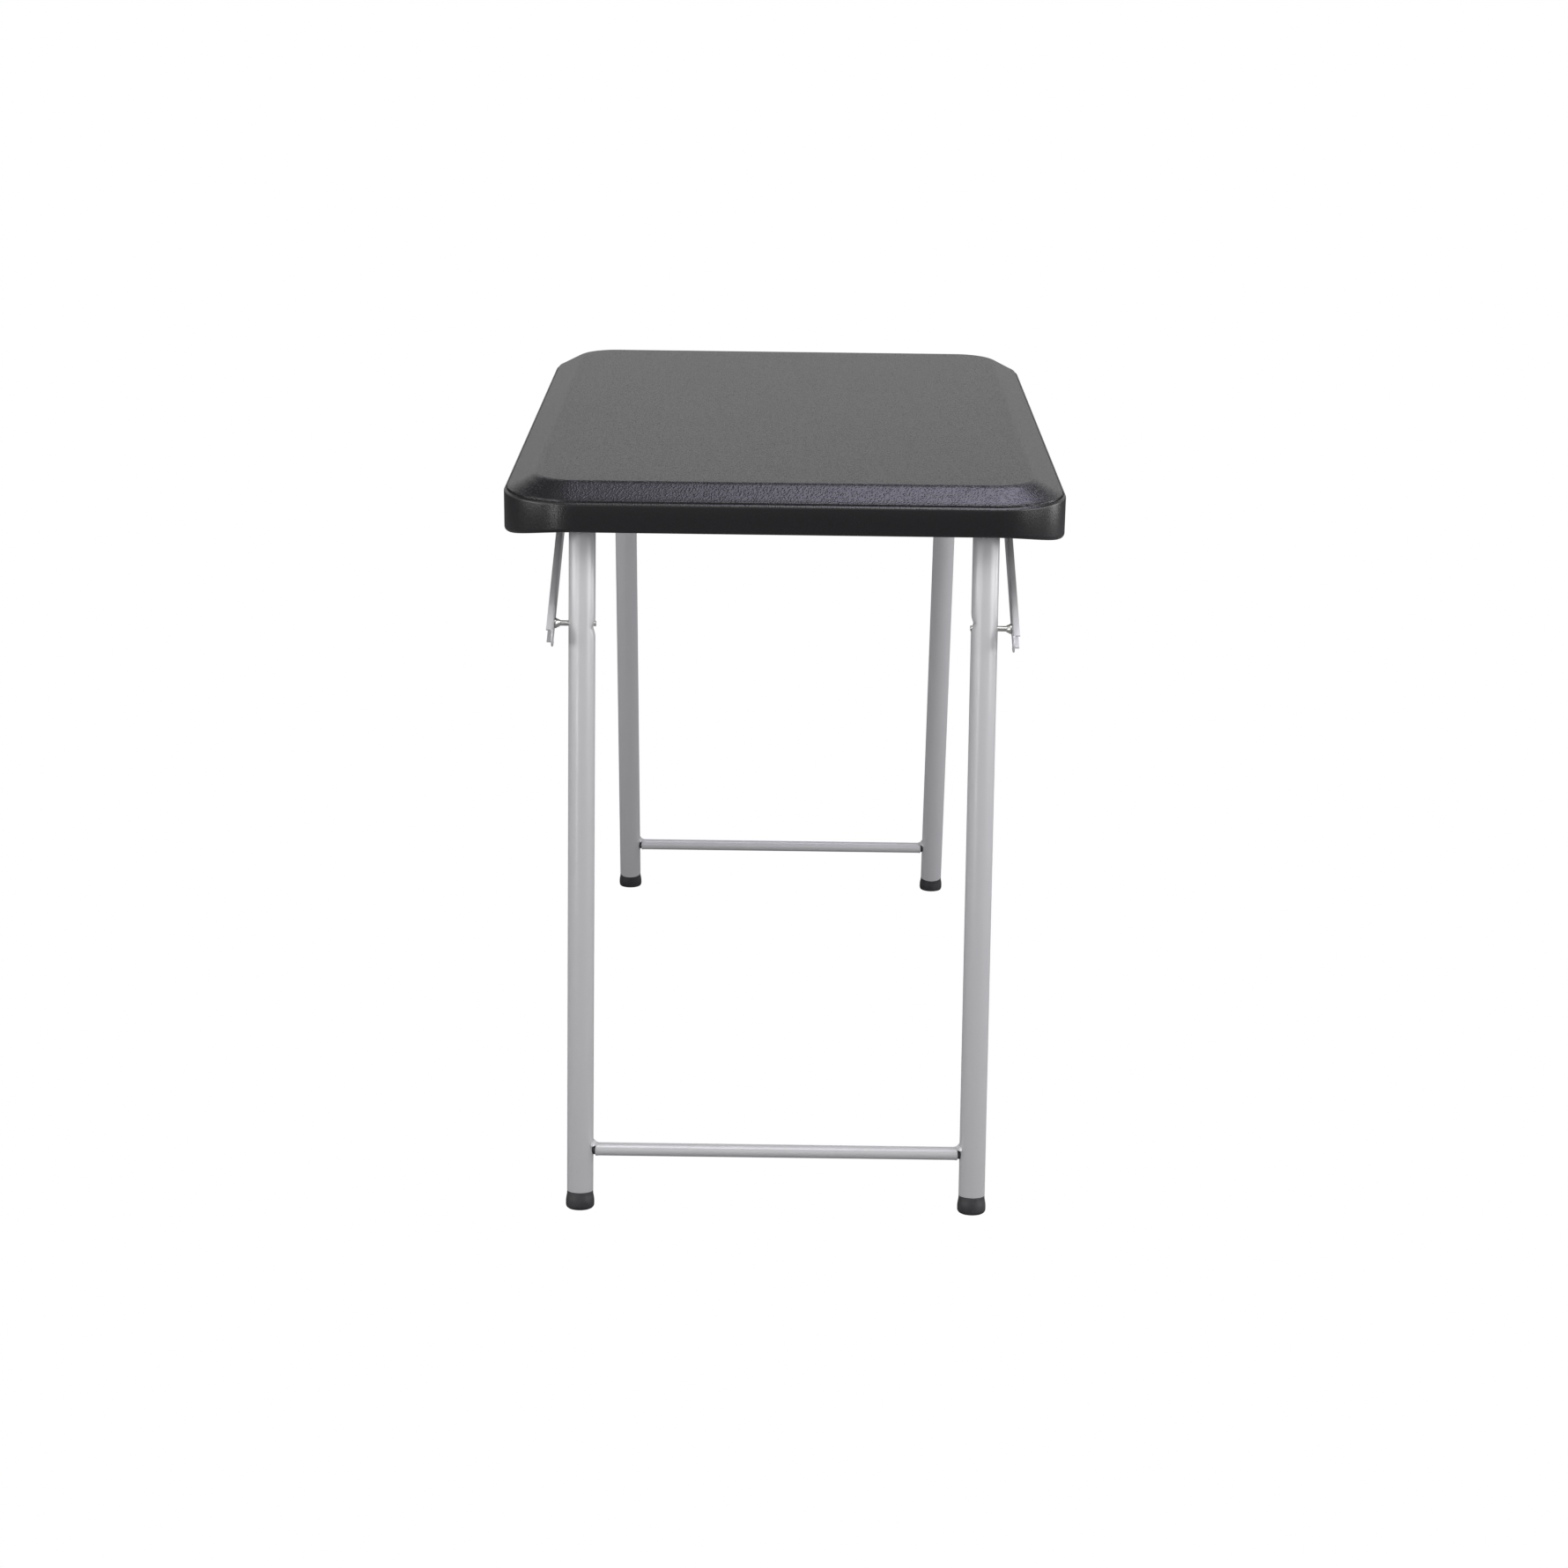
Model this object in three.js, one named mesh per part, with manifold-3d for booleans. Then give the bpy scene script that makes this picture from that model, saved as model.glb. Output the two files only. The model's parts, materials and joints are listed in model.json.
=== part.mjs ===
// A personal folding table: a moulded plastic top on two splayed leg frames that fold up
// under it. Each frame is a pair of steel tubes on a hinge rod, held open by two braces
// whose upper ends slide in rails under the top.
//
// Millimetres, +Z up. The origin is on the floor under the middle of the table. The top is
// long along Y. The front end is at -Y, the rear end at +Y, left is -X and right is +X.

import * as THREE from 'three';
import { mergeVertices } from 'three/addons/utils/BufferGeometryUtils.js';
import Module from 'manifold-3d';

const wasm = await Module();
wasm.setup();

// ---- Driving dimensions --------------------------------------------------------------

const TABLE_HEIGHT = 686;
const TOP_LENGTH = 788;
const TOP_WIDTH = 525;
const TOP_CORNER_RADIUS = 71;
const BEVEL_WIDTH = 29;
const BEVEL_HEIGHT = 14.8;
const SKIRT_HEIGHT = 28.2; // at the ends
const SIDE_SKIRT_DROP = 12; // how much deeper the skirts along the sides are
const SKIRT_THICKNESS = 18;
const PANEL_THICKNESS = 20;

const SPLAY = THREE.MathUtils.degToRad(9.25);
const LEG_SPREAD = 374.6; // between the axes of a frame's two tubes
const LEG_RADIUS = 12.5;
const LEG_WALL = 1.2;
const LEG_TOP = 9; // tube above the hinge rod's axis
const FOOT_REACH = 461.3; // from the table's middle to a leg's axis, on the floor
const FOOT_HEIGHT = 15.7;
const FOOT_RADIUS = 13.65;
const FOOT_EDGE = 3.5; // its round lower edge
const FOOT_PLUG = 24; // up inside the tube
const FOOT_CUT = 1.7; // trimmed off under a leg's axis, to stand level
const FRONT_HINGE_HEIGHT = 649.5;
const REAR_HINGE_HEIGHT = 620.5; // one tube lower, so that the rear frame folds over the front one

const CROSS_RAIL_HEIGHT = 55.6;
const CROSS_RAIL_RADIUS = 6.25;
const CROSS_RAIL_WALL = 1;
const HINGE_ROD_RADIUS = 5;
const HINGE_ROD_OVERHANG = 3.2; // past the leg tube, under the end cap

const PIN_HEIGHT = 552.3;
const PIN_RADIUS = 2.5;
const PIN_SPAN = 13; // from the leg tube to the brace
const CONE_RADIUS = 4.85;
const CONE_LENGTH = 4.5;
const RIVET_HEAD_RADIUS = 4.4;
const RIVET_HEAD_HEIGHT = 2;
const CAP_WALL = 2;

const BRACE_LENGTH = 244; // pin to slide stud
const BRACE_WIDTH = 16;
const BRACE_DEPTH = 6.5;
const BRACE_SHEET = 1.5;
const BRACE_TONGUE = 30; // past the pin, to its rounded end
const BRACE_FLANGE_PAST_PIN = 19;
const BUSH_RADIUS = 5.6;
const PIVOT_GAP = 0.4; // between a brace's bush and the stud it turns on

const RAIL_LENGTH = 340;
const RAIL_TAB = 16;
const RAIL_WIDTH = 17;
const RAIL_HEIGHT = 21;
const RAIL_SHEET = 1.5;
const RAIL_SLOT = 8.4;
const RAIL_CLEARANCE = 4.2; // between the braces and the rails
const RAIL_MIDDLE_SCREW = 18; // between the two shoes' folded places

const SHOE_LENGTH = 26;
const SHOE_CORNER = 3;
const STUD_RADIUS = 3;

const BRACKET_REACH = 140; // from the table's middle plane to a bracket's
const BRACKET_LENGTH = 24;
const BRACKET_GAP = 10; // between its ears
const BRACKET_FLANGE = 19;
const BRACKET_SHEET = 2;
const BRACKET_CLEARANCE = 2.5; // between the rod and the web under it

const SCREW_RADIUS = 2;
const SCREW_DEPTH = 12;
const SCREW_HEAD_RADIUS = 4;
const SCREW_HEAD_HEIGHT = 2.5;
const SCREW_POINT = 2;

const FIT = 0.3; // gap where pieces meet
const ROUND = 24; // facets of a tube
const SMALL_ROUND = 14; // facets of a rod or rivet
const SCREW_ROUND = 10; // facets of a screw or its hole

// ---- Sizes worked out from them ------------------------------------------------------

const creaseHeight = TABLE_HEIGHT - BEVEL_HEIGHT;
const skirtBottom = creaseHeight - SKIRT_HEIGHT;
const ceilingHeight = TABLE_HEIGHT - PANEL_THICKNESS;
const sheetTop = ceilingHeight - FIT;
const legOffset = LEG_SPREAD / 2;
const rodEnd = legOffset + LEG_RADIUS + HINGE_ROD_OVERHANG;
const braceInner = legOffset + LEG_RADIUS + PIN_SPAN;
const braceOuter = braceInner + BRACE_DEPTH;
const studEnd = braceOuter + PIVOT_GAP;
const railInner = braceOuter + RAIL_CLEARANCE;
const railAxis = railInner + RAIL_WIDTH / 2;
const slideHeight = sheetTop - RAIL_HEIGHT / 2;
const holeRadius = SCREW_RADIUS + FIT;

/** How far a leg's axis is from the table's middle at a height. */
const legReach = (height) => FOOT_REACH - height * Math.tan(SPLAY);

/** How steep a brace stands, and how far its stud is from the table's middle, with the legs open. */
const braceRise = Math.asin((slideHeight - PIN_HEIGHT) / BRACE_LENGTH);
const studReach = legReach(PIN_HEIGHT) - BRACE_LENGTH * Math.cos(braceRise);

const SIDES = [{ name: 'left', sign: -1 }, { name: 'right', sign: 1 }];
const ENDS = [
  { name: 'front', sign: -1, hingeHeight: FRONT_HINGE_HEIGHT },
  { name: 'rear', sign: 1, hingeHeight: REAR_HINGE_HEIGHT },
];

// ---- Materials -----------------------------------------------------------------------

const finish = (color, roughness, metalness) =>
  new THREE.MeshStandardMaterial({ color, roughness, metalness });
const topPlastic = () => finish(0x1d1d20, 0.5, 0);
const legPaint = () => finish(0xb2b2b6, 0.38, 0.6);
const zincSteel = () => finish(0xa9a9a6, 0.35, 0.9);
const footRubber = () => finish(0x17171a, 0.6, 0);
const shoeNylon = () => finish(0xd8d6cf, 0.5, 0);

// ---- Making, joining and cutting solids ----------------------------------------------

/** A closed three.js geometry as a solid that can be joined and cut. */
function toSolid(geometry) {
  const bare = geometry.index ? geometry.toNonIndexed() : geometry.clone();
  bare.deleteAttribute('normal');
  bare.deleteAttribute('uv');
  const merged = mergeVertices(bare, 1e-4);
  const corners = [];
  for (let i = 0; i < merged.index.count; i += 3) {
    const [a, b, c] = [0, 1, 2].map((k) => merged.index.getX(i + k));
    if (a !== b && b !== c && c !== a) corners.push(a, b, c);
  }
  const vertProperties = new Float32Array(merged.attributes.position.array);
  return new wasm.Manifold(new wasm.Mesh({ numProp: 3, vertProperties, triVerts: new Uint32Array(corners) }));
}

/** A joined or cut solid back as a three.js geometry. */
function toGeometry(solid) {
  const { vertProperties, triVerts } = solid.getMesh();
  const geometry = new THREE.BufferGeometry();
  geometry.setAttribute('position', new THREE.BufferAttribute(vertProperties, 3));
  geometry.setIndex(new THREE.BufferAttribute(triVerts, 1));
  return geometry;
}

const join = (...pieces) => toGeometry(pieces.map(toSolid).reduce((all, piece) => all.add(piece)));
const cut = (body, tools) => toGeometry(tools.reduce((left, tool) => left.subtract(toSolid(tool)), toSolid(body)));

/** A block between two corners. */
function block(low, high) {
  const size = high.map((value, i) => value - low[i]);
  return new THREE.BoxGeometry(...size).translate(...low.map((value, i) => value + size[i] / 2));
}

/** A solid of revolution about Z. The profile's [radius, z] points run anticlockwise. */
function turned(profile, facets = SMALL_ROUND) {
  const points = profile.map(([radius, z]) => new THREE.Vector2(radius, z));
  return new THREE.LatheGeometry(points, facets).rotateX(Math.PI / 2);
}

/** The same about X, with the profile's second number growing outwards on that side. */
function turnedAcross(profile, side, facets = SMALL_ROUND) {
  return turned(profile, facets).rotateY(side * Math.PI / 2);
}

/** A plain rod about X, from one place to another. */
const crossRod = (radius, from, to, facets = SMALL_ROUND) =>
  turnedAcross([[0, from], [radius, from], [radius, to], [0, to]], 1, facets);

/** A round tube about Z: a closed ring profile. */
const tube = (radius, wall, from, to, facets) =>
  turned([[radius, from], [radius, to], [radius - wall, to], [radius - wall, from], [radius, from]], facets);

/** An outline in Y and Z, given thickness along X on one side of the table. */
function sheetAcross(shape, side, inner, thickness) {
  const axes = new THREE.Matrix4().makeBasis(
    new THREE.Vector3(0, 1, 0), new THREE.Vector3(0, 0, 1), new THREE.Vector3(1, 0, 0));
  const start = side > 0 ? inner : -inner - thickness;
  return new THREE.ExtrudeGeometry(shape, { depth: thickness, bevelEnabled: false, curveSegments: 6 })
    .applyMatrix4(axes).translate(start, 0, 0);
}

/** An outline in X and Z, extruded along Y about a middle. */
const profileAlong = (points, length) =>
  new THREE.ExtrudeGeometry(new THREE.Shape(points.map(([x, z]) => new THREE.Vector2(x, z))),
    { depth: length, bevelEnabled: false }).rotateX(Math.PI / 2).translate(0, length / 2, 0);

/** A low rivet head's profile, from its rim to its middle. A negative height turns it inwards. */
const rivetHead = (radius, face, height) =>
  [[radius, face], [radius, face + 0.4 * height], [0.68 * radius, face + 0.9 * height], [0, face + height]];

/** A rectangle with round corners, centred on the origin. */
function roundedRectangle(width, length, radius) {
  const [x, y] = [width / 2 - radius, length / 2 - radius];
  const shape = new THREE.Shape();
  shape.absarc(x, y, radius, 0, Math.PI / 2);
  shape.absarc(-x, y, radius, Math.PI / 2, Math.PI);
  shape.absarc(-x, -y, radius, Math.PI, 1.5 * Math.PI);
  shape.absarc(x, -y, radius, 1.5 * Math.PI, 2 * Math.PI);
  return shape;
}

function piece(parent, name, geometry, material, position = [0, 0, 0]) {
  const mesh = new THREE.Mesh(geometry, material);
  mesh.name = name;
  mesh.position.set(...position);
  parent.add(mesh);
}

// ---- The top -------------------------------------------------------------------------

/** The three screws along a slide rail: one in each end tab, and one between the shoes. */
function railScrewPlaces() {
  const tab = (RAIL_LENGTH + RAIL_TAB) / 2;
  const middle = RAIL_MIDDLE_SCREW;
  return [{ label: 'front', y: -tab }, { label: 'middle', y: middle }, { label: 'rear', y: tab }];
}

/** The clearance hole for a screw, along Z. */
const screwHole = (from, to) =>
  turned([[0, from], [holeRadius, from], [holeRadius, to], [0, to]], SCREW_ROUND);

/** Every screw's place under the top: name, x, y and the thickness of the sheet it holds. */
function screwPlaces() {
  const places = [];
  for (const side of SIDES) {
    for (const end of ENDS) {
      const y = end.sign * legReach(end.hingeHeight);
      const spread = BRACKET_GAP / 2 + BRACKET_SHEET + BRACKET_FLANGE / 2;
      const base = `${end.name}_${side.name}_bracket_screw`;
      for (const [label, offset] of [['inner', -spread], ['outer', spread]]) {
        const x = side.sign * (BRACKET_REACH + offset);
        places.push({ name: `${base}_${label}`, x, y, sheet: BRACKET_SHEET });
      }
    }
    for (const { label, y } of railScrewPlaces()) {
      const x = side.sign * railAxis;
      places.push({ name: `${side.name}_rail_screw_${label}`, x, y, sheet: RAIL_SHEET });
    }
  }
  return places;
}

/** How far the skirt's lower edge lies under its height at the ends: it deepens round each corner. */
function rimDrop(x, y) {
  const along = Math.max(0, Math.abs(y) - (TOP_LENGTH / 2 - TOP_CORNER_RADIUS));
  const across = Math.max(0, Math.abs(x) - (TOP_WIDTH / 2 - TOP_CORNER_RADIUS));
  return SIDE_SKIRT_DROP * across ** 2 / (across ** 2 + along ** 2);
}

/** Lowers the skirt's level rim to its curved edge. The walls above it are upright. */
function shapeRim(geometry) {
  const place = geometry.attributes.position;
  for (let i = 0; i < place.count; i += 1) {
    const z = place.getZ(i);
    if (Math.abs(z - skirtBottom) < FIT) place.setZ(i, z - rimDrop(place.getX(i), place.getY(i)));
  }
  return geometry;
}

/** The moulded top: a skirt under a wide bevel, hollowed from below, with blind screw holes. */
function tabletop() {
  const inset = 2 * BEVEL_WIDTH;
  const flat = roundedRectangle(TOP_WIDTH - inset, TOP_LENGTH - inset, TOP_CORNER_RADIUS - BEVEL_WIDTH);
  const overlap = 4;
  const cap = new THREE.ExtrudeGeometry(flat, {
    depth: overlap, bevelSize: BEVEL_WIDTH, bevelThickness: BEVEL_HEIGHT, bevelSegments: 1, curveSegments: 8,
  }).translate(0, 0, creaseHeight - overlap);
  const outline = roundedRectangle(TOP_WIDTH, TOP_LENGTH, TOP_CORNER_RADIUS);
  const skirt = new THREE.ExtrudeGeometry(outline, {
    depth: SKIRT_HEIGHT, bevelEnabled: false, curveSegments: 8,
  }).translate(0, 0, skirtBottom);
  const [width, length] = [TOP_WIDTH, TOP_LENGTH].map((size) => size - 2 * SKIRT_THICKNESS);
  const clear = 5;
  const recess = new THREE.ExtrudeGeometry(
    roundedRectangle(width, length, TOP_CORNER_RADIUS - SKIRT_THICKNESS),
    { depth: ceilingHeight - skirtBottom + clear, bevelEnabled: false, curveSegments: 8 },
  ).translate(0, 0, skirtBottom - clear);
  const holes = screwPlaces().map(({ x, y }) => screwHole(-clear, SCREW_DEPTH).translate(x, y, ceilingHeight));
  return shapeRim(cut(join(skirt, cap), [recess, ...holes]));
}

/** A pan-head screw from below. Its sheet's top face is at height zero. */
function screw(sheet) {
  const seat = -sheet - FIT;
  const low = seat - SCREW_HEAD_HEIGHT;
  return turned([
    [0, low], [0.7 * SCREW_HEAD_RADIUS, low], [SCREW_HEAD_RADIUS, low + 0.4 * SCREW_HEAD_HEIGHT],
    [SCREW_HEAD_RADIUS, seat],
    [SCREW_RADIUS, seat], [SCREW_RADIUS, SCREW_DEPTH - FIT - SCREW_POINT], [0, SCREW_DEPTH - FIT],
  ], SCREW_ROUND);
}

/** A hat-section pivot bracket: two flanges on the top, two ears and a web below the rod. */
function pivotBracket(drop) {
  const inner = BRACKET_GAP / 2;
  const outer = inner + BRACKET_SHEET;
  const edge = outer + BRACKET_FLANGE;
  const floor = drop + HINGE_ROD_RADIUS + BRACKET_CLEARANCE;
  const half = [[inner, -floor], [inner, 0], [edge, 0], [edge, -BRACKET_SHEET], [outer, -BRACKET_SHEET],
    [outer, -floor - BRACKET_SHEET]];
  const mirrored = half.map(([x, z]) => [-x, z]).reverse();
  const bore = crossRod(HINGE_ROD_RADIUS + FIT, -edge, edge).translate(0, 0, -drop);
  const holes = SIDES.map(({ sign }) => screwHole(-2 * BRACKET_SHEET, BRACKET_SHEET)
    .translate(sign * (outer + BRACKET_FLANGE / 2), 0, 0));
  return cut(profileAlong([...mirrored, ...half], BRACKET_LENGTH), [bore, ...holes]);
}

/** A C-section slide rail with its slot towards the brace and a screw tab at each end. */
function slideRail(side) {
  const [half, top] = [RAIL_WIDTH / 2, RAIL_HEIGHT];
  const slotLow = (RAIL_HEIGHT - RAIL_SLOT) / 2;
  const slotHigh = slotLow + RAIL_SLOT;
  const s = RAIL_SHEET;
  const section = [[-half, 0], [half, 0], [half, top], [-half, top], [-half, slotHigh], [-half + s, slotHigh],
    [-half + s, top - s], [half - s, top - s], [half - s, s], [-half + s, s], [-half + s, slotLow],
    [-half, slotLow]];
  const channel = profileAlong(section.map(([x, z]) => [side * x, z]), RAIL_LENGTH).translate(0, 0, -top);
  const reach = RAIL_LENGTH / 2 + RAIL_TAB;
  const tabs = block([-half, -reach, -s], [half, reach, 0]);
  const holes = railScrewPlaces().map(({ y }) => screwHole(-2 * s, s).translate(0, y, 0));
  return cut(join(channel, tabs), holes);
}

// ---- A leg frame, about its hinge: -Z runs down the legs -----------------------------

/** How far below the hinge a height is, measured along the leg. */
const alongLeg = (end, height) => -(end.hingeHeight - height) / Math.cos(SPLAY);

/** A straight tube with holes for the hinge rod and the brace pin. */
function legTube(end) {
  const bottom = alongLeg(end, 0) + FOOT_HEIGHT;
  const reach = 1.5 * LEG_RADIUS;
  const rodHole = crossRod(HINGE_ROD_RADIUS + FIT, -reach, reach);
  const pinHole = crossRod(PIN_RADIUS + FIT, -reach, reach, SCREW_ROUND)
    .translate(0, 0, alongLeg(end, PIN_HEIGHT));
  return cut(tube(LEG_RADIUS, LEG_WALL, bottom, LEG_TOP, ROUND), [rodHole, pinHole]);
}

/** A plug in the tube's end with a flared, round-edged sole cut level with the floor. */
function foot(end) {
  const top = alongLeg(end, 0) + FOOT_HEIGHT;
  const plug = LEG_RADIUS - LEG_WALL - FIT;
  const sole = top - FOOT_HEIGHT - FOOT_CUT;
  const rim = [0, 1, 2, 3].map((step) => {
    const angle = (step / 3 - 1) * Math.PI / 2;
    return [FOOT_RADIUS - FOOT_EDGE * (1 - Math.cos(angle)), sole + FOOT_EDGE * (1 + Math.sin(angle))];
  });
  const [flareStart, flareEnd] = [0.16, 0.7].map((share) => top - share * FOOT_HEIGHT);
  const lead = 2;
  const body = turned([
    [0, sole], ...rim, [FOOT_RADIUS, flareEnd], [LEG_RADIUS, flareStart], [LEG_RADIUS, top - FIT],
    [plug, top - FIT], [plug, top + FOOT_PLUG - lead], [plug - lead, top + FOOT_PLUG], [0, top + FOOT_PLUG],
  ], ROUND);
  const reach = 5 * LEG_RADIUS;
  const underFloor = block([-reach, -reach, -reach], [reach, reach, 0])
    .translate(0, end.sign * (legReach(0) - legReach(end.hingeHeight)), -end.hingeHeight)
    .rotateX(-end.sign * SPLAY);
  return cut(body, [underFloor]);
}

/** The thin tube between the legs, with its ends shaped to them. */
function crossRail() {
  const reach = legOffset;
  const rail = tube(CROSS_RAIL_RADIUS, CROSS_RAIL_WALL, -reach, reach, SMALL_ROUND).rotateY(Math.PI / 2);
  const legs = SIDES.map(({ sign }) => {
    const room = 4 * LEG_RADIUS;
    const radius = LEG_RADIUS + FIT;
    return turned([[0, -room], [radius, -room], [radius, room], [0, room]], ROUND)
      .translate(sign * legOffset, 0, 0);
  });
  return cut(rail, legs);
}

/** A press-on cap over the hinge rod's end. */
function rodCap(side) {
  const start = legOffset + LEG_RADIUS + FIT;
  const bore = HINGE_ROD_RADIUS + FIT;
  const [wide, end] = [bore + CAP_WALL, rodEnd + CAP_WALL];
  const edge = 0.7 * CAP_WALL;
  return turnedAcross([
    [0, rodEnd + FIT], [bore, rodEnd + FIT], [bore, start], [wide, start], [wide, end - edge],
    [wide - edge, end], [0, end],
  ], side);
}

/** The rivet that a brace turns on: a small head inside the leg, and one outside the brace. */
function bracePin(side) {
  const innerFace = legOffset - LEG_RADIUS - FIT;
  const outerFace = braceInner + BRACE_SHEET + FIT;
  return turnedAcross([
    ...rivetHead(RIVET_HEAD_RADIUS, innerFace, -0.8 * RIVET_HEAD_HEIGHT).reverse(), [PIN_RADIUS, innerFace],
    [PIN_RADIUS, outerFace], ...rivetHead(RIVET_HEAD_RADIUS, outerFace, RIVET_HEAD_HEIGHT),
  ], side);
}

/** The cone that keeps the brace out from the leg. */
function pinCone(side) {
  const face = braceInner - FIT;
  const bore = PIN_RADIUS + FIT;
  const [tip, tipWall] = [face - CONE_LENGTH, 0.7];
  const rim = CONE_LENGTH / 4;
  return turnedAcross([
    [bore, face], [bore, tip], [bore + tipWall, tip], [CONE_RADIUS, face - rim], [CONE_RADIUS, face],
    [bore, face],
  ], side);
}

// ---- A brace, about its pin: +Y runs up to the slide stud ----------------------------

/** A shallow channel with its web towards the leg and a bare tongue at each end. */
function brace(side) {
  const radius = BRACE_WIDTH / 2;
  const web = new THREE.Shape();
  web.absarc(BRACE_LENGTH, 0, radius, -Math.PI / 2, Math.PI / 2);
  web.absarc(radius - BRACE_TONGUE, 0, radius, Math.PI / 2, 1.5 * Math.PI);
  for (const [centre, bore] of [[0, PIN_RADIUS + FIT], [BRACE_LENGTH, STUD_RADIUS + FIT]]) {
    web.holes.push(new THREE.Path().absarc(centre, 0, bore, 0, 2 * Math.PI, true));
  }
  const [low, high] = [braceInner, braceOuter].map((x) => side * x).sort((a, b) => a - b);
  const flanges = [-1, 1].map((edge) => {
    const [inside, outside] = [radius - BRACE_SHEET, radius].map((z) => edge * z).sort((a, b) => a - b);
    return block([low, -BRACE_FLANGE_PAST_PIN, inside], [high, BRACE_LENGTH - 1.25 * radius, outside]);
  });
  return join(sheetAcross(web, side, braceInner, BRACE_SHEET), ...flanges);
}

/** The rivet and bush at the brace's upper end, face to face with the slide stud. */
function braceBush(side) {
  const inside = braceInner - FIT;
  const outside = braceInner + BRACE_SHEET + FIT;
  const edge = 0.8;
  return turnedAcross([
    ...rivetHead(RIVET_HEAD_RADIUS, inside, -0.7 * RIVET_HEAD_HEIGHT).reverse(), [STUD_RADIUS, inside],
    [STUD_RADIUS, outside], [BUSH_RADIUS, outside], [BUSH_RADIUS, braceOuter - edge],
    [BUSH_RADIUS - edge, braceOuter], [0, braceOuter],
  ], side);
}

/** The nylon shoe in the slide rail, with the stud that meets the brace's bush. */
function slideShoe(side) {
  const height = RAIL_HEIGHT / 2 - RAIL_SHEET - FIT;
  const [near, far] = [railInner + RAIL_SHEET + FIT, railInner + RAIL_WIDTH - RAIL_SHEET - FIT];
  const outline = roundedRectangle(SHOE_LENGTH, 2 * height, SHOE_CORNER);
  const root = (near + far) / 2;
  const stud = turnedAcross([[0, studEnd], [STUD_RADIUS, studEnd], [STUD_RADIUS, root], [0, root]], side);
  return join(sheetAcross(outline, side, near, far - near), stud);
}

// ---- The assembly --------------------------------------------------------------------

const table = new THREE.Group();
piece(table, 'tabletop', tabletop(), topPlastic());
for (const { name, x, y, sheet } of screwPlaces()) {
  piece(table, name, screw(sheet), zincSteel(), [x, y, sheetTop]);
}
for (const side of SIDES) {
  const place = [side.sign * railAxis, 0, sheetTop];
  piece(table, `${side.name}_slide_rail`, slideRail(side.sign), zincSteel(), place);
}

for (const end of ENDS) {
  const hingeReach = end.sign * legReach(end.hingeHeight);
  const frame = new THREE.Group();
  frame.position.set(0, hingeReach, end.hingeHeight);
  frame.rotation.x = end.sign * SPLAY;
  table.add(frame);
  piece(frame, `${end.name}_hinge_rod`, crossRod(HINGE_ROD_RADIUS, -rodEnd, rodEnd), zincSteel());
  piece(frame, `${end.name}_cross_rail`, crossRail(), legPaint(), [0, 0, alongLeg(end, CROSS_RAIL_HEIGHT)]);

  for (const side of SIDES) {
    const label = `${end.name}_${side.name}`;
    piece(frame, `${label}_leg_tube`, legTube(end), legPaint(), [side.sign * legOffset, 0, 0]);
    piece(frame, `${label}_foot`, foot(end), footRubber(), [side.sign * legOffset, 0, 0]);
    piece(frame, `${label}_rod_cap`, rodCap(side.sign), footRubber());
    piece(frame, `${label}_brace_pin`, bracePin(side.sign), zincSteel(), [0, 0, alongLeg(end, PIN_HEIGHT)]);
    piece(frame, `${label}_pin_cone`, pinCone(side.sign), zincSteel(), [0, 0, alongLeg(end, PIN_HEIGHT)]);

    const drop = sheetTop - end.hingeHeight;
    piece(table, `${label}_pivot_bracket`, pivotBracket(drop), zincSteel(),
      [side.sign * BRACKET_REACH, hingeReach, sheetTop]);

    const strut = new THREE.Group();
    strut.position.set(0, end.sign * legReach(PIN_HEIGHT), PIN_HEIGHT);
    strut.rotation.x = end.sign < 0 ? braceRise : Math.PI - braceRise;
    table.add(strut);
    piece(strut, `${label}_brace`, brace(side.sign), legPaint());
    piece(strut, `${label}_brace_bush`, braceBush(side.sign), zincSteel(), [0, BRACE_LENGTH, 0]);
    const shoePlace = [0, end.sign * studReach, slideHeight];
    piece(table, `${label}_slide_shoe`, slideShoe(side.sign), shoeNylon(), shoePlace);
  }
}

export default table;
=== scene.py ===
"""Finished surfaces of a small folding table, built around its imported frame.

Every piece takes its place from the frame's boxes and joints. Lengths are metres, written as
millimetres times MM. The top is long along Y, +X is the right side, and the front is -Y.
"""

import json
import logging
import math
from dataclasses import dataclass
from enum import Enum
from typing import Callable, Iterable, Sequence

import bmesh
import bpy
from mathutils import Matrix, Vector

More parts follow.
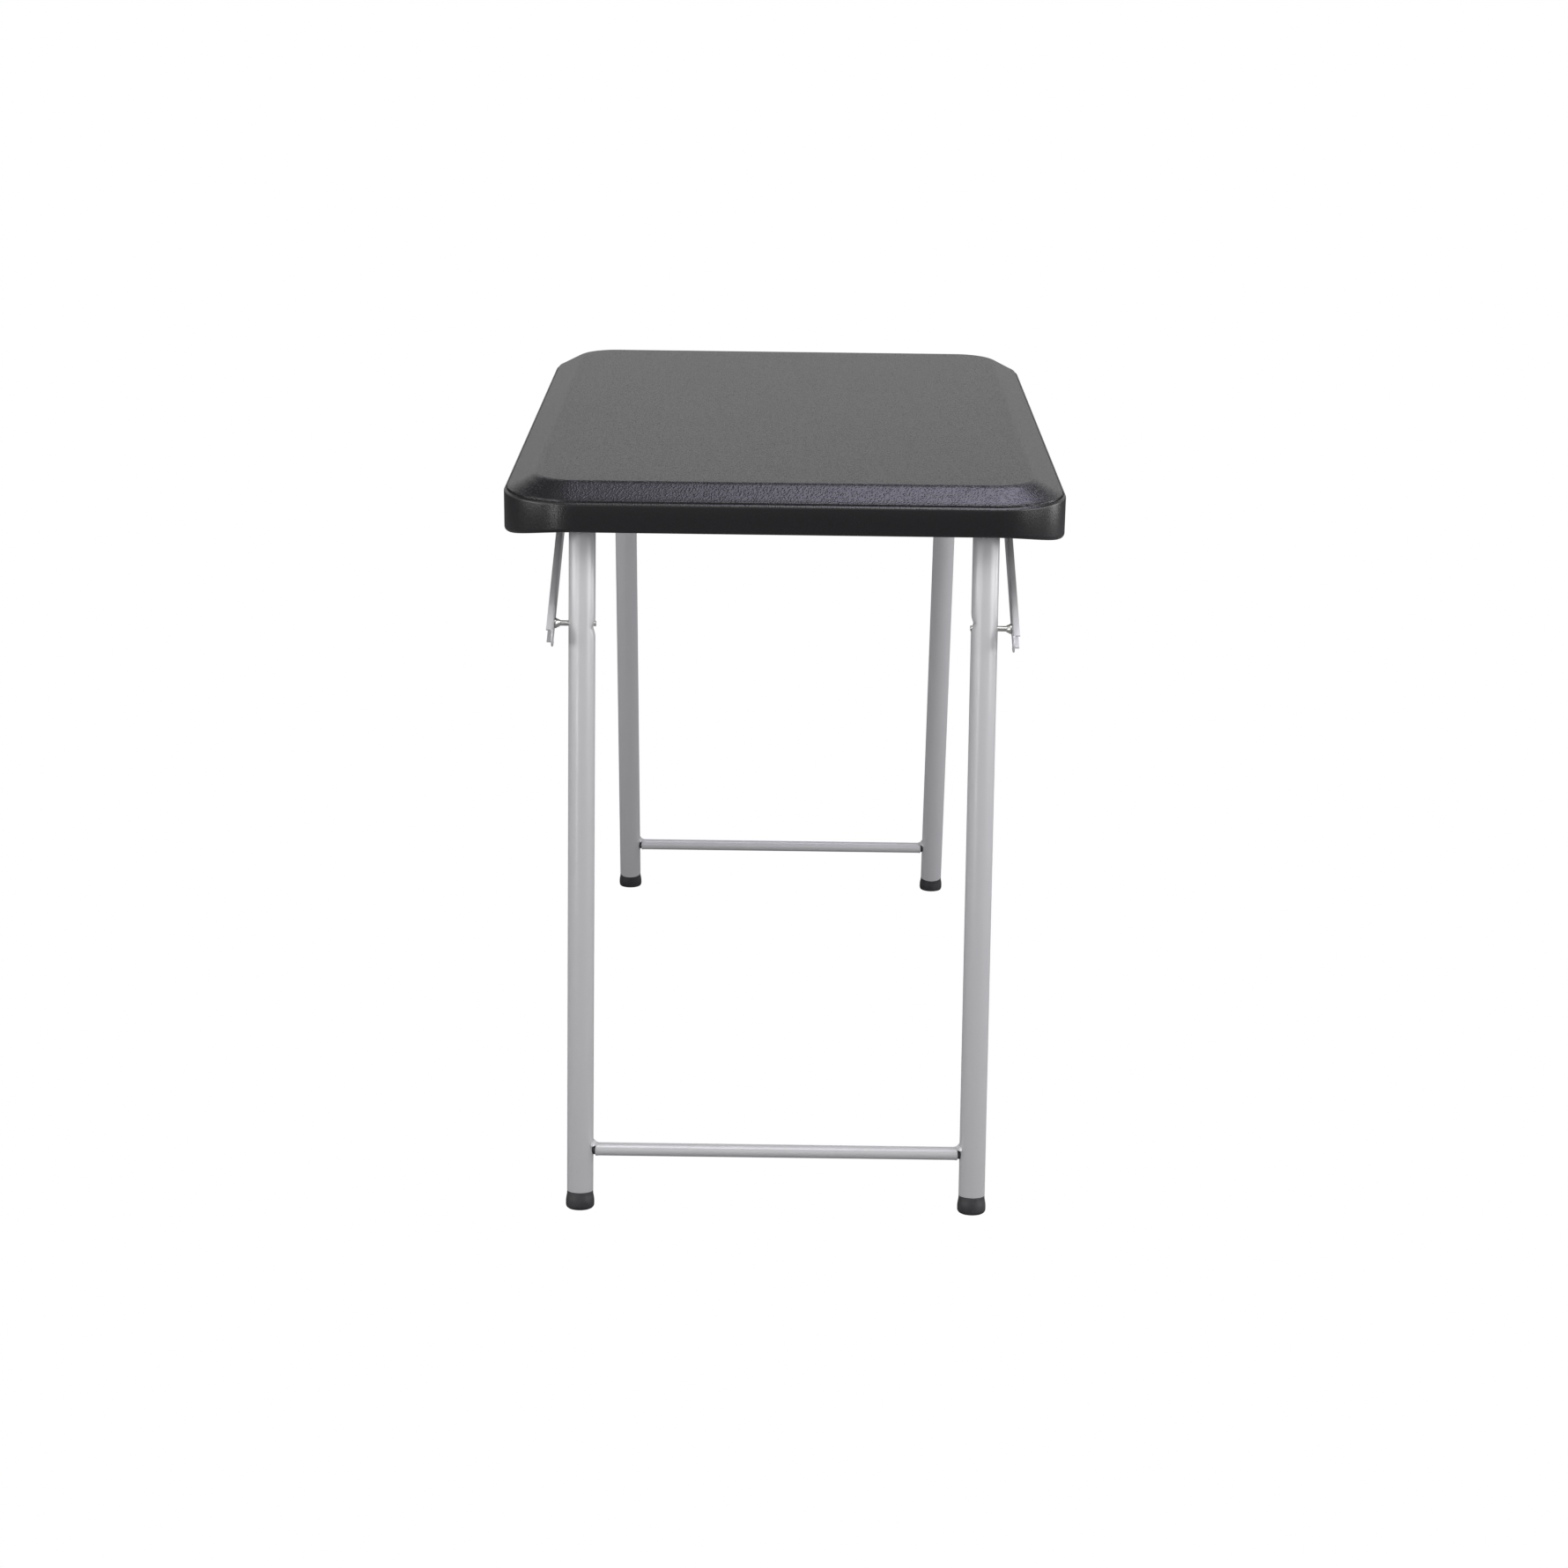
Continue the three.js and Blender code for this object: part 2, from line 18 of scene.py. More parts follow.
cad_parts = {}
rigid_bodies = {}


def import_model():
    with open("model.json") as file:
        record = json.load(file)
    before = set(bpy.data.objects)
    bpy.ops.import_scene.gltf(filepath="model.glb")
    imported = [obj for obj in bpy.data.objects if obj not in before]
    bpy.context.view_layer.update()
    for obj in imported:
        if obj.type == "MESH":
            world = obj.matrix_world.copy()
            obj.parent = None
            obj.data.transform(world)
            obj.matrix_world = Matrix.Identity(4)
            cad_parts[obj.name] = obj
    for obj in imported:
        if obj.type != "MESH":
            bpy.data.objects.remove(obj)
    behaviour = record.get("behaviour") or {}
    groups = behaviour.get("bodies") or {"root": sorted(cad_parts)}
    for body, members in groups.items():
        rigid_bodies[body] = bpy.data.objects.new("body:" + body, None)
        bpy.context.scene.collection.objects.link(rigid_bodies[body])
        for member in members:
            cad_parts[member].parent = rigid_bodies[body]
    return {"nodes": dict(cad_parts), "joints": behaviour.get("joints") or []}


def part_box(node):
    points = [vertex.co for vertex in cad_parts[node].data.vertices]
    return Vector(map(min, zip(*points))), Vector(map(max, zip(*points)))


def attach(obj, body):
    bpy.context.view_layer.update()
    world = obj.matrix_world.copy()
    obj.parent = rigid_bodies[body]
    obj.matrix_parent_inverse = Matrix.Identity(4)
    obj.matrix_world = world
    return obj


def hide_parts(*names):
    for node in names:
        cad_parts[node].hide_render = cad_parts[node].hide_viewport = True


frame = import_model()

MM = 0.001
CORNER_STEPS = 24
TUBE_FACETS = 64
NEAR = 0.01 * MM
MIRROR = Matrix.Scale(-1, 4, Vector((1, 0, 0)))
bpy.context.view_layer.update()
LOG = logging.getLogger("folding_table")

Point = tuple[float, float]


class Slot(Enum):
    """The record's material slots."""

    TOP = "top_plastic"
    PAINT = "leg_paint"
    ZINC = "zinc_steel"
    RUBBER = "foot_rubber"
    NYLON = "shoe_nylon"


class Part(Enum):
    """The kinds of mesh element an edit can choose."""

    VERTS = "VERT"
    EDGES = "EDGE"
    FACES = "FACE"


@dataclass(frozen=True)
class Side:
    """Left or right of the table.

    Args:
        name: the word used in node names.
        sign: the direction along X.
    """

    name: str
    sign: int


@dataclass(frozen=True)
class End:
    """The front or the rear leg frame.

    Args:
        name: the word used in node and joint names.
        sign: the direction along Y.
    """

    name: str
    sign: int

    @property
    def body(self) -> str:
        """The moving body that the frame's pieces ride on."""
        return f"{self.name}_legs"

    def joint(self, name: str) -> dict:
        """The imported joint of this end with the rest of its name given."""
        return next(joint for joint in frame["joints"] if joint["name"] == f"{self.name}_{name}")


LEFT, RIGHT = Side("left", -1), Side("right", 1)
FRONT, REAR = End("front", -1), End("rear", 1)


# ---- Bench work: operators on one piece at a time ------------------------------------------


def clear_bench() -> None:
    """Leaves edit mode and deselects everything."""
    if bpy.context.object and bpy.context.object.mode != "OBJECT":
        bpy.ops.object.mode_set(mode="OBJECT")
    for thing in bpy.context.view_layer.objects:
        thing.select_set(False)


def take_up(piece: bpy.types.Object) -> None:
    """Makes a piece the only one selected, and active."""
    clear_bench()
    piece.select_set(True)
    bpy.context.view_layer.objects.active = piece


def choose(piece: bpy.types.Object, kind: Part, test: Callable[[object], bool]) -> None:
    """Selects, in edit mode, only the elements that pass a test.

    Args:
        piece: the mesh object being edited.
        kind: which elements are tested.
        test: says whether an element is wanted.
    """
    bpy.ops.mesh.select_mode(type=kind.value)
    bpy.ops.mesh.select_all(action="DESELECT")
    mesh = bmesh.from_edit_mesh(piece.data)
    elements = {Part.VERTS: mesh.verts, Part.EDGES: mesh.edges, Part.FACES: mesh.faces}[kind]
    for element in elements:
        if test(element):
            element.select_set(True)
    bmesh.update_edit_mesh(piece.data)


def middle(element: object) -> Vector:
    """The middle of an edge or a face."""
    return sum((vert.co for vert in element.verts), Vector()) / len(element.verts)


def modify(piece: bpy.types.Object, kind: str, **settings: object) -> None:
    """Adds a modifier to a piece and applies it.

    Args:
        piece: the mesh object.
        kind: the modifier's type.
        settings: its values.
    """
    take_up(piece)
    modifier = piece.modifiers.new(kind.lower(), kind)
    for key, value in settings.items():
        setattr(modifier, key, value)
    bpy.ops.object.modifier_apply(modifier=modifier.name)


def cut_away(piece: bpy.types.Object, tool: bpy.types.Object) -> None:
    """Cuts one object out of another and throws the tool away."""
    modify(piece, "BOOLEAN", object=tool, operation="DIFFERENCE", solver="EXACT")
    bpy.data.objects.remove(tool)


def place(piece: bpy.types.Object, matrix: Matrix = Matrix()) -> bpy.types.Object:
    """Moves a piece's mesh to its place, and leaves the object at the origin."""
    take_up(piece)
    piece.matrix_world = matrix @ piece.matrix_world
    bpy.ops.object.transform_apply(location=True, rotation=True, scale=True)
    return piece


def tidy(piece: bpy.types.Object, angle: float = 32.0) -> bpy.types.Object:
    """Merges doubles, turns the faces outwards and smooths what isn't a sharp edge.

    Args:
        piece: the mesh object.
        angle: the largest angle between faces that is shaded smooth, in degrees.

    Returns:
        The same object.
    """
    take_up(piece)
    bpy.ops.object.mode_set(mode="EDIT")
    bpy.ops.mesh.select_all(action="SELECT")
    bpy.ops.mesh.remove_doubles(threshold=0.002 * MM)
    bpy.ops.mesh.normals_make_consistent(inside=False)
    bpy.ops.object.mode_set(mode="OBJECT")
    bpy.ops.object.shade_smooth_by_angle(angle=math.radians(angle))
    return piece


def copy_of(piece: bpy.types.Object, matrix: Matrix) -> bpy.types.Object:
    """A copy of a piece with a mesh of its own, moved, turned or mirrored.

    Args:
        piece: the finished piece.
        matrix: where the copy goes, from where the piece is.

    Returns:
        The copy.
    """
    twin = piece.copy()
    twin.data = piece.data.copy()
    bpy.context.scene.collection.objects.link(twin)
    twin.data.transform(matrix)
    if matrix.determinant() < 0:
        twin.data.flip_normals()
    return twin


def arc(centre: Point, radius: float, start: float, end: float, steps: int) -> list[Point]:
    """Points along an arc, for a turned profile.

    Args:
        centre: its centre, as radius and height.
        radius: its radius.
        start: its first angle in degrees, from straight outwards.
        end: its last angle.
        steps: how many stretches it is divided into.

    Returns:
        The points, both ends included.
    """
    angles = [math.radians(start + (end - start) * step / steps) for step in range(steps + 1)]
    return [(centre[0] + radius * math.cos(a), centre[1] + radius * math.sin(a)) for a in angles]


def turn(profile: Sequence[Point], facets: int = 48) -> bpy.types.Object:
    """A turned piece about Z, by extruding and scaling a disc from station to station.

    Args:
        profile: the stations, as radius and height. Both ends are closed flat.
        facets: how many sides the disc has.

    Returns:
        The new object.
    """
    clear_bench()
    (radius, height), *stations = profile
    bpy.ops.mesh.primitive_circle_add(
        vertices=facets, radius=radius, fill_type="NGON", location=(0, 0, height)
    )
    bpy.ops.object.mode_set(mode="EDIT")
    bpy.ops.mesh.select_all(action="SELECT")
    for next_radius, next_height in stations:
        rise = (0, 0, next_height - height)
        bpy.ops.mesh.extrude_region_move(TRANSFORM_OT_translate={"value": rise})
        grow = next_radius / radius
        bpy.ops.transform.resize(value=(grow, grow, 1), center_override=(0, 0, next_height))
        radius, height = next_radius, next_height
    bpy.ops.object.mode_set(mode="OBJECT")
    piece = bpy.context.object
    return place(piece)


def across(side: Side, centre: Vector) -> Matrix:
    """Lays a piece turned about Z along X, with its height growing outwards on that side."""
    return Matrix.Translation(centre) @ Matrix.Rotation(side.sign * math.pi / 2, 4, "Y")


@dataclass
class FoldedSheet:
    """A strip of sheet metal folded along Y, as a press brake folds it.

    Args:
        section: the middle line of the sheet, as X and Z, from fold to fold.
        span: where the strip starts and ends along Y.
        sheet: its thickness.
        bend: the radius of its folds.
        tabs: flat tongues that run on past the strip's ends from one panel, each as the panel's
            number, the Y that its tip reaches and the radius of its corners.
    """

    section: Sequence[Point]
    span: Point
    sheet: float
    bend: float
    tabs: Sequence[tuple[int, float, float]] = ()

    def build(self) -> bpy.types.Object:
        """Folds the strip and gives it its thickness.

        Returns:
            The new object.
        """
        clear_bench()
        bpy.ops.mesh.primitive_plane_add(size=1)
        piece = bpy.context.object
        bpy.ops.object.mode_set(mode="EDIT")
        self._lay_first_panel(piece)
        for start, end in zip(self.section[1:], self.section[2:]):
            choose(piece, Part.EDGES, lambda edge: self._runs_at(edge, start))
            move = (end[0] - start[0], 0, end[1] - start[1])
            bpy.ops.mesh.extrude_region_move(TRANSFORM_OT_translate={"value": move})
        for panel, tip, radius in self.tabs:
            self._pull_tab(piece, panel, tip, radius)
        choose(piece, Part.EDGES, lambda edge: any(self._runs_at(edge, p) for p in self.section[1:-1]))
        bpy.ops.mesh.bevel(offset=self.bend, offset_type="OFFSET", segments=4, affect="EDGES")
        bpy.ops.object.mode_set(mode="OBJECT")
        modify(piece, "SOLIDIFY", thickness=self.sheet, offset=0, use_even_offset=True)
        modify(
            piece, "BEVEL", width=0.16 * self.sheet, segments=2, limit_method="ANGLE",
            angle_limit=math.radians(50),
        )
        return tidy(piece)

    def _lay_first_panel(self, piece: bpy.types.Object) -> None:
        """Moves a unit plane's corners to the first panel."""
        for sign_x, (x, z) in zip((-1, 1), self.section[:2]):
            for sign_y, y in zip((-1, 1), self.span):
                corner = (sign_x / 2, sign_y / 2)
                choose(piece, Part.VERTS, lambda v: (v.co.xy - Vector(corner)).length < MM)
                move = (x - corner[0], y - corner[1], z)
                bpy.ops.transform.translate(value=move)

    def _runs_at(self, edge: bmesh.types.BMEdge, point: Point) -> bool:
        """True for an edge along Y at a point of the section."""
        near = (Vector((v.co.x, v.co.z)) - Vector(point) for v in edge.verts)
        return all(offset.length < NEAR for offset in near)

    def _pull_tab(self, piece: bpy.types.Object, panel: int, tip: float, radius: float) -> None:
        """Extrudes a panel's end edge to a tip along Y and rounds its corners."""
        end = min(self.span, key=lambda y: abs(y - tip))
        ends = [Vector((x, end, z)) for x, z in self.section[panel:panel + 2]]
        half_way = (ends[0] + ends[1]) / 2
        choose(piece, Part.EDGES, lambda edge: (middle(edge) - half_way).length < NEAR)
        bpy.ops.mesh.extrude_region_move(TRANSFORM_OT_translate={"value": (0, tip - end, 0)})
        choose(piece, Part.VERTS, lambda vert: abs(vert.co.y - tip) < NEAR)
        bpy.ops.mesh.bevel(offset=radius, segments=8, affect="VERTICES")


# ---- Shared surface effects ------------------------------------------------------------------


class Sheet:
    """A node tree being drawn up: adds nodes and joins them.

    Args:
        tree: the node tree to work in.
    """

    def __init__(self, tree: bpy.types.NodeTree) -> None:
        self.tree = tree

    def add(self, kind: str, **settings: object) -> bpy.types.Node:
        """A new node, with its properties set."""
        node = self.tree.nodes.new(kind)
        for key, value in settings.items():
            setattr(node, key, value)
        return node

    def join(self, source: bpy.types.NodeSocket, target: bpy.types.NodeSocket) -> None:
        """Links an output to an input."""
        self.tree.links.new(source, target)

    def maths(self, operation: str, first: object, second: object = 0.0) -> bpy.types.NodeSocket:
        """A Math node on two sockets or numbers.

        Args:
            operation: the node's operation.
            first: a socket or a number.
            second: a socket or a number.

        Returns:
            The result's socket.
        """
        node = self.add("ShaderNodeMath", operation=operation)
        for socket, value in zip(node.inputs, (first, second)):
            if isinstance(value, bpy.types.NodeSocket):
                self.join(value, socket)
            else:
                socket.default_value = value
        return node.outputs[0]

    def span(self, value: bpy.types.NodeSocket, low: Point, high: Point) -> bpy.types.NodeSocket:
        """Maps a value's range on to another, clamped.

        Args:
            value: the socket to map.
            low: the value that starts the range, and what it becomes.
            high: the value that ends the range, and what it becomes.

        Returns:
            The mapped socket.
        """
        node = self.add("ShaderNodeMapRange")
        self.join(value, node.inputs["Value"])
        for name, number in zip(("From Min", "To Min", "From Max", "To Max"), (*low, *high)):
            node.inputs[name].default_value = number
        return node.outputs["Result"]


def effect_group(name: str, inputs: dict[str, str], outputs: dict[str, str]) -> tuple[Sheet, dict, dict]:
    """An empty shader node group with its sockets.

    Args:
        name: the group's name.
        inputs: input names and socket types.
        outputs: output names and socket types.

    Returns:
        The group's sheet, its input sockets and its output sockets, by name.
    """
    tree = bpy.data.node_groups.new(name, "ShaderNodeTree")
    for names, direction in ((inputs, "INPUT"), (outputs, "OUTPUT")):
        for label, kind in names.items():
            tree.interface.new_socket(name=label, in_out=direction, socket_type=kind)
    sheet = Sheet(tree)
    start, end = sheet.add("NodeGroupInput"), sheet.add("NodeGroupOutput")
    return sheet, {s.name: s for s in start.outputs if s.name}, {s.name: s for s in end.inputs if s.name}


VALUE, VECTOR = "NodeSocketFloat", "NodeSocketVector"


def pebble_grain() -> bpy.types.NodeTree:
    """The fine leather-like pebbles that a textured mould leaves. Puts out a height."""
    sheet, given, result = effect_group(
        "pebble_grain", {"Vector": VECTOR, "Scale": VALUE}, {"Height": VALUE}
    )
    cells = sheet.add("ShaderNodeTexVoronoi", feature="SMOOTH_F1")
    cells.inputs["Smoothness"].default_value = 0.35
    lumps = sheet.add("ShaderNodeTexNoise")
    lumps.inputs["Detail"].default_value = 2
    for node in (cells, lumps):
        sheet.join(given["Vector"], node.inputs["Vector"])
    sheet.join(given["Scale"], cells.inputs["Scale"])
    sheet.join(sheet.maths("MULTIPLY", given["Scale"], 0.55), lumps.inputs["Scale"])
    pebbles = sheet.span(cells.outputs["Distance"], (0.05, 1.0), (0.6, 0.0))
    uneven = sheet.span(lumps.outputs["Fac"], (0.3, 0.35), (0.7, 1.0))
    sheet.join(sheet.maths("MULTIPLY", pebbles, uneven), result["Height"])
    return sheet.tree


def handling_marks() -> bpy.types.NodeTree:
    """Soft smears and fine dull scuffs from handling. Puts out a mask."""
    sheet, given, result = effect_group(
        "handling_marks", {"Vector": VECTOR, "Scale": VALUE, "Amount": VALUE}, {"Mask": VALUE}
    )
    smears = sheet.add("ShaderNodeTexNoise")
    smears.inputs["Detail"].default_value = 5
    smears.inputs["Roughness"].default_value = 0.62
    sheet.join(given["Vector"], smears.inputs["Vector"])
    sheet.join(given["Scale"], smears.inputs["Scale"])
    specks = sheet.add("ShaderNodeTexNoise")
    specks.inputs["Detail"].default_value = 3
    sheet.join(given["Vector"], specks.inputs["Vector"])
    sheet.join(sheet.maths("MULTIPLY", given["Scale"], 14.0), specks.inputs["Scale"])
    soft = sheet.span(smears.outputs["Fac"], (0.42, 0.0), (0.7, 1.0))
    fine = sheet.span(specks.outputs["Fac"], (0.55, 0.0), (0.75, 0.5))
    both = sheet.maths("MULTIPLY", sheet.maths("ADD", soft, fine), given["Amount"])
    sheet.join(both, result["Mask"])
    return sheet.tree


def edge_rub() -> bpy.types.NodeTree:
    """Rubbed outer edges, broken up by a noise. Puts out a mask."""
    sheet, given, result = effect_group(
        "edge_rub", {"Vector": VECTOR, "Amount": VALUE}, {"Mask": VALUE}
    )
    shape = sheet.add("ShaderNodeNewGeometry")
    edges = sheet.span(shape.outputs["Pointiness"], (0.52, 0.0), (0.6, 1.0))
    broken = sheet.add("ShaderNodeTexNoise")
    broken.inputs["Scale"].default_value = 160
    sheet.join(given["Vector"], broken.inputs["Vector"])
    patchy = sheet.span(broken.outputs["Fac"], (0.35, 0.1), (0.65, 1.0))
    worn = sheet.maths("MULTIPLY", edges, patchy)
    sheet.join(sheet.maths("MULTIPLY", worn, given["Amount"]), result["Mask"])
    return sheet.tree


# ---- Finishes --------------------------------------------------------------------------------


@dataclass(frozen=True)
class Finish:
    """What every finish has in common: a body colour with marks, edges and a surface relief.

    Args:
        name: the material's name.
        colour: the body colour.
        marked: the colour where it is handled or rubbed.
        roughness: its roughness where it is clean.
        dulled: its roughness where it is marked.
        metallic: how metallic it is.
        marks_scale: how fine the handling marks are.
        marks: how strong they are.
        rub: how strongly the edges are rubbed.
    """

    name: str
    colour: tuple[float, float, float]
    marked: tuple[float, float, float]
    roughness: float
    dulled: float
    metallic: float = 0.0
    marks_scale: float = 9.0
    marks: float = 0.6
    rub: float = 0.5

    def relief(self, sheet: Sheet, where: bpy.types.NodeSocket) -> tuple[bpy.types.NodeSocket, float]:
        """The surface relief.

        Args:
            sheet: the material's sheet.
            where: the object coordinates.

        Returns:
            A height and the depth it stands for, in metres.
        """
        noise = sheet.add("ShaderNodeTexNoise")
        noise.inputs["Scale"].default_value = 900
        sheet.join(where, noise.inputs["Vector"])
        return noise.outputs["Fac"], 0.02 * MM

    def make(self, shop: "PaintShop") -> bpy.types.Material:
        """Builds the material.

        Args:
            shop: holds the shared effects.

        Returns:
            The new material.
        """
        material = bpy.data.materials.new(self.name)
        material.use_nodes = True
        sheet = Sheet(material.node_tree)
        shader = material.node_tree.nodes["Principled BSDF"]
        shader.inputs["Metallic"].default_value = self.metallic
        where = sheet.add("ShaderNodeTexCoord").outputs["Object"]
        marks = shop.effect(sheet, "handling_marks", where, Scale=self.marks_scale, Amount=self.marks)
        rub = shop.effect(sheet, "edge_rub", where, Amount=self.rub)
        worn = sheet.add("ShaderNodeMath", operation="MAXIMUM", use_clamp=True)
        sheet.join(marks, worn.inputs[0])
        sheet.join(rub, worn.inputs[1])
        blend = sheet.add("ShaderNodeMix", data_type="RGBA")
        sheet.join(worn.outputs[0], blend.inputs["Factor"])
        blend.inputs[6].default_value = (*self.colour, 1)
        blend.inputs[7].default_value = (*self.marked, 1)
        sheet.join(blend.outputs[2], shader.inputs["Base Color"])
        gloss = sheet.span(worn.outputs[0], (0.0, self.roughness), (1.0, self.dulled))
        sheet.join(gloss, shader.inputs["Roughness"])
        height, depth = self.relief(sheet, where)
        bump = sheet.add("ShaderNodeBump")
        bump.inputs["Distance"].default_value = depth
        sheet.join(height, bump.inputs["Height"])
        sheet.join(bump.outputs["Normal"], shader.inputs["Normal"])
        return material


@dataclass(frozen=True)
class MouldedPlastic(Finish):
    """Black polyethylene from a textured mould.

    Args:
        grain_scale: how many pebbles there are to a metre.
        grain_depth: how deep the grain is.
        textured_above: the height of the crease, below which the skirt is almost smooth.
        skirt_share: how much of the grain the skirt has.
    """

    grain_scale: float = 520.0
    grain_depth: float = 0.28 * MM
    textured_above: float = 671 * MM
    skirt_share: float = 0.2

    def relief(self, sheet: Sheet, where: bpy.types.NodeSocket) -> tuple[bpy.types.NodeSocket, float]:
        """Pebble grain over the slight waves of a blow moulding."""
        pebbles = PaintShop.effect(sheet, "pebble_grain", where, Scale=self.grain_scale)
        parts = sheet.add("ShaderNodeSeparateXYZ")
        sheet.join(where, parts.inputs[0])
        below, above = self.textured_above - 2 * MM, self.textured_above + 1 * MM
        share = sheet.span(parts.outputs["Z"], (below, self.skirt_share), (above, 1.0))
        grain = sheet.maths("MULTIPLY", pebbles, share)
        waves = sheet.add("ShaderNodeTexNoise")
        waves.inputs["Scale"].default_value = 7
        waves.inputs["Detail"].default_value = 1
        sheet.join(where, waves.inputs["Vector"])
        return sheet.maths("ADD", grain, sheet.maths("MULTIPLY", waves.outputs["Fac"], 0.5)), self.grain_depth


@dataclass(frozen=True)
class PowderCoat(Finish):
    """Silver-grey powder coat: a fine orange peel with metallic flake."""

    def relief(self, sheet: Sheet, where: bpy.types.NodeSocket) -> tuple[bpy.types.NodeSocket, float]:
        """Orange peel about a millimetre across."""
        peel = sheet.add("ShaderNodeTexNoise")
        peel.inputs["Scale"].default_value = 750
        peel.inputs["Detail"].default_value = 1.5
        sheet.join(where, peel.inputs["Vector"])
        return peel.outputs["Fac"], 0.018 * MM


@dataclass(frozen=True)
class ZincPlate(Finish):
    """Bright zinc on rolled steel: faint streaks along the sheet."""

    def relief(self, sheet: Sheet, where: bpy.types.NodeSocket) -> tuple[bpy.types.NodeSocket, float]:
        """Rolling streaks along Y."""
        stretch = sheet.add("ShaderNodeMapping")
        stretch.inputs["Scale"].default_value = (900, 30, 900)
        sheet.join(where, stretch.inputs["Vector"])
        streaks = sheet.add("ShaderNodeTexNoise")
        streaks.inputs["Scale"].default_value = 1
        sheet.join(stretch.outputs["Vector"], streaks.inputs["Vector"])
        return streaks.outputs["Fac"], 0.02 * MM


class PaintShop:
    """Holds the shared effects and one material for each finish."""

    def __init__(self) -> None:
        for build in (pebble_grain, handling_marks, edge_rub):
            build()
        self.materials = {slot: finish.make(self) for slot, finish in self.finishes().items()}

    @staticmethod
    def effect(sheet: Sheet, name: str, where: bpy.types.NodeSocket, **values: float) -> bpy.types.NodeSocket:
        """Places a shared effect in a material.

        Args:
            sheet: the material's sheet.
            name: the effect group's name.
            where: the object coordinates.
            values: the group's other inputs.

        Returns:
            The group's first output.
        """
        node = sheet.add("ShaderNodeGroup", node_tree=bpy.data.node_groups[name])
        sheet.join(where, node.inputs["Vector"])
        for label, value in values.items():
            node.inputs[label].default_value = value
        return node.outputs[0]

    @staticmethod
    def finishes() -> dict[Slot, Finish]:
        """The finish of each slot."""
        return {
            Slot.TOP: MouldedPlastic(
                "black_polyethylene", (0.0078, 0.0075, 0.0088), (0.0095, 0.0092, 0.0106), 0.31, 0.33,
                marks_scale=6.0, marks=0.3, rub=0.2,
            ),
            Slot.PAINT: PowderCoat(
                "silver_powder_coat", (0.50, 0.50, 0.515), (0.47, 0.47, 0.485), 0.30, 0.36,
                metallic=0.1, marks_scale=14.0, marks=0.3, rub=0.25,
            ),
            Slot.ZINC: ZincPlate(
                "zinc_plate", (0.62, 0.62, 0.60), (0.48, 0.47, 0.44), 0.26, 0.44,
                metallic=1.0, marks_scale=40.0, marks=0.7, rub=0.3,
            ),
            Slot.RUBBER: Finish(
                "foot_rubber", (0.017, 0.017, 0.020), (0.055, 0.054, 0.056), 0.48, 0.68,
                marks_scale=60.0, marks=0.5, rub=0.6,
            ),
            Slot.NYLON: Finish(
                "slide_nylon", (0.62, 0.60, 0.54), (0.50, 0.48, 0.43), 0.38, 0.55,
                marks_scale=60.0, marks=0.6, rub=0.2,
            ),
        }

    def finish(
        self, piece: bpy.types.Object, name: str, body: str, slot: Slot, nodes: Iterable[str] = ()
    ) -> bpy.types.Object:
        """Names a piece, paints it, and hangs it on its body in place of its CAD nodes.

        Args:
            piece: the finished mesh object.
            name: its name.
            body: the body it rides on.
            slot: the material slot it takes.
            nodes: the CAD nodes it stands for.

        Returns:
            The same object.
        """
        piece.name = piece.data.name = name
        piece.data.materials.clear()
        piece.data.materials.append(self.materials[slot])
        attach(piece, body)
        if nodes:
            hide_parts(*nodes)
        LOG.info("%-34s %6d faces on %s", name, len(piece.data.polygons), body)
        return piece

    def finish_pair(
        self, piece: bpy.types.Object, made_for: Side, name: str, body: str, slot: Slot, node: str = ""
    ) -> None:
        """Finishes a piece and its mirrored copy. SIDE stands for left or right in the names.

        Args:
            piece: the finished mesh object.
            made_for: the side that it was made for.
            name: the pieces' name.
            body: the body they ride on.
            slot: the material slot they take.
            node: the CAD node they stand for, if any.
        """
        twin = copy_of(piece, MIRROR)
        pair = (piece, twin) if made_for is LEFT else (twin, piece)
        for side, each in zip((LEFT, RIGHT), pair):
            label, rider, replaced = (text.replace("SIDE", side.name) for text in (name, body, node))
            self.finish(each, label, rider, slot, [replaced] if replaced else [])


# ---- The moulded top -------------------------------------------------------------------------


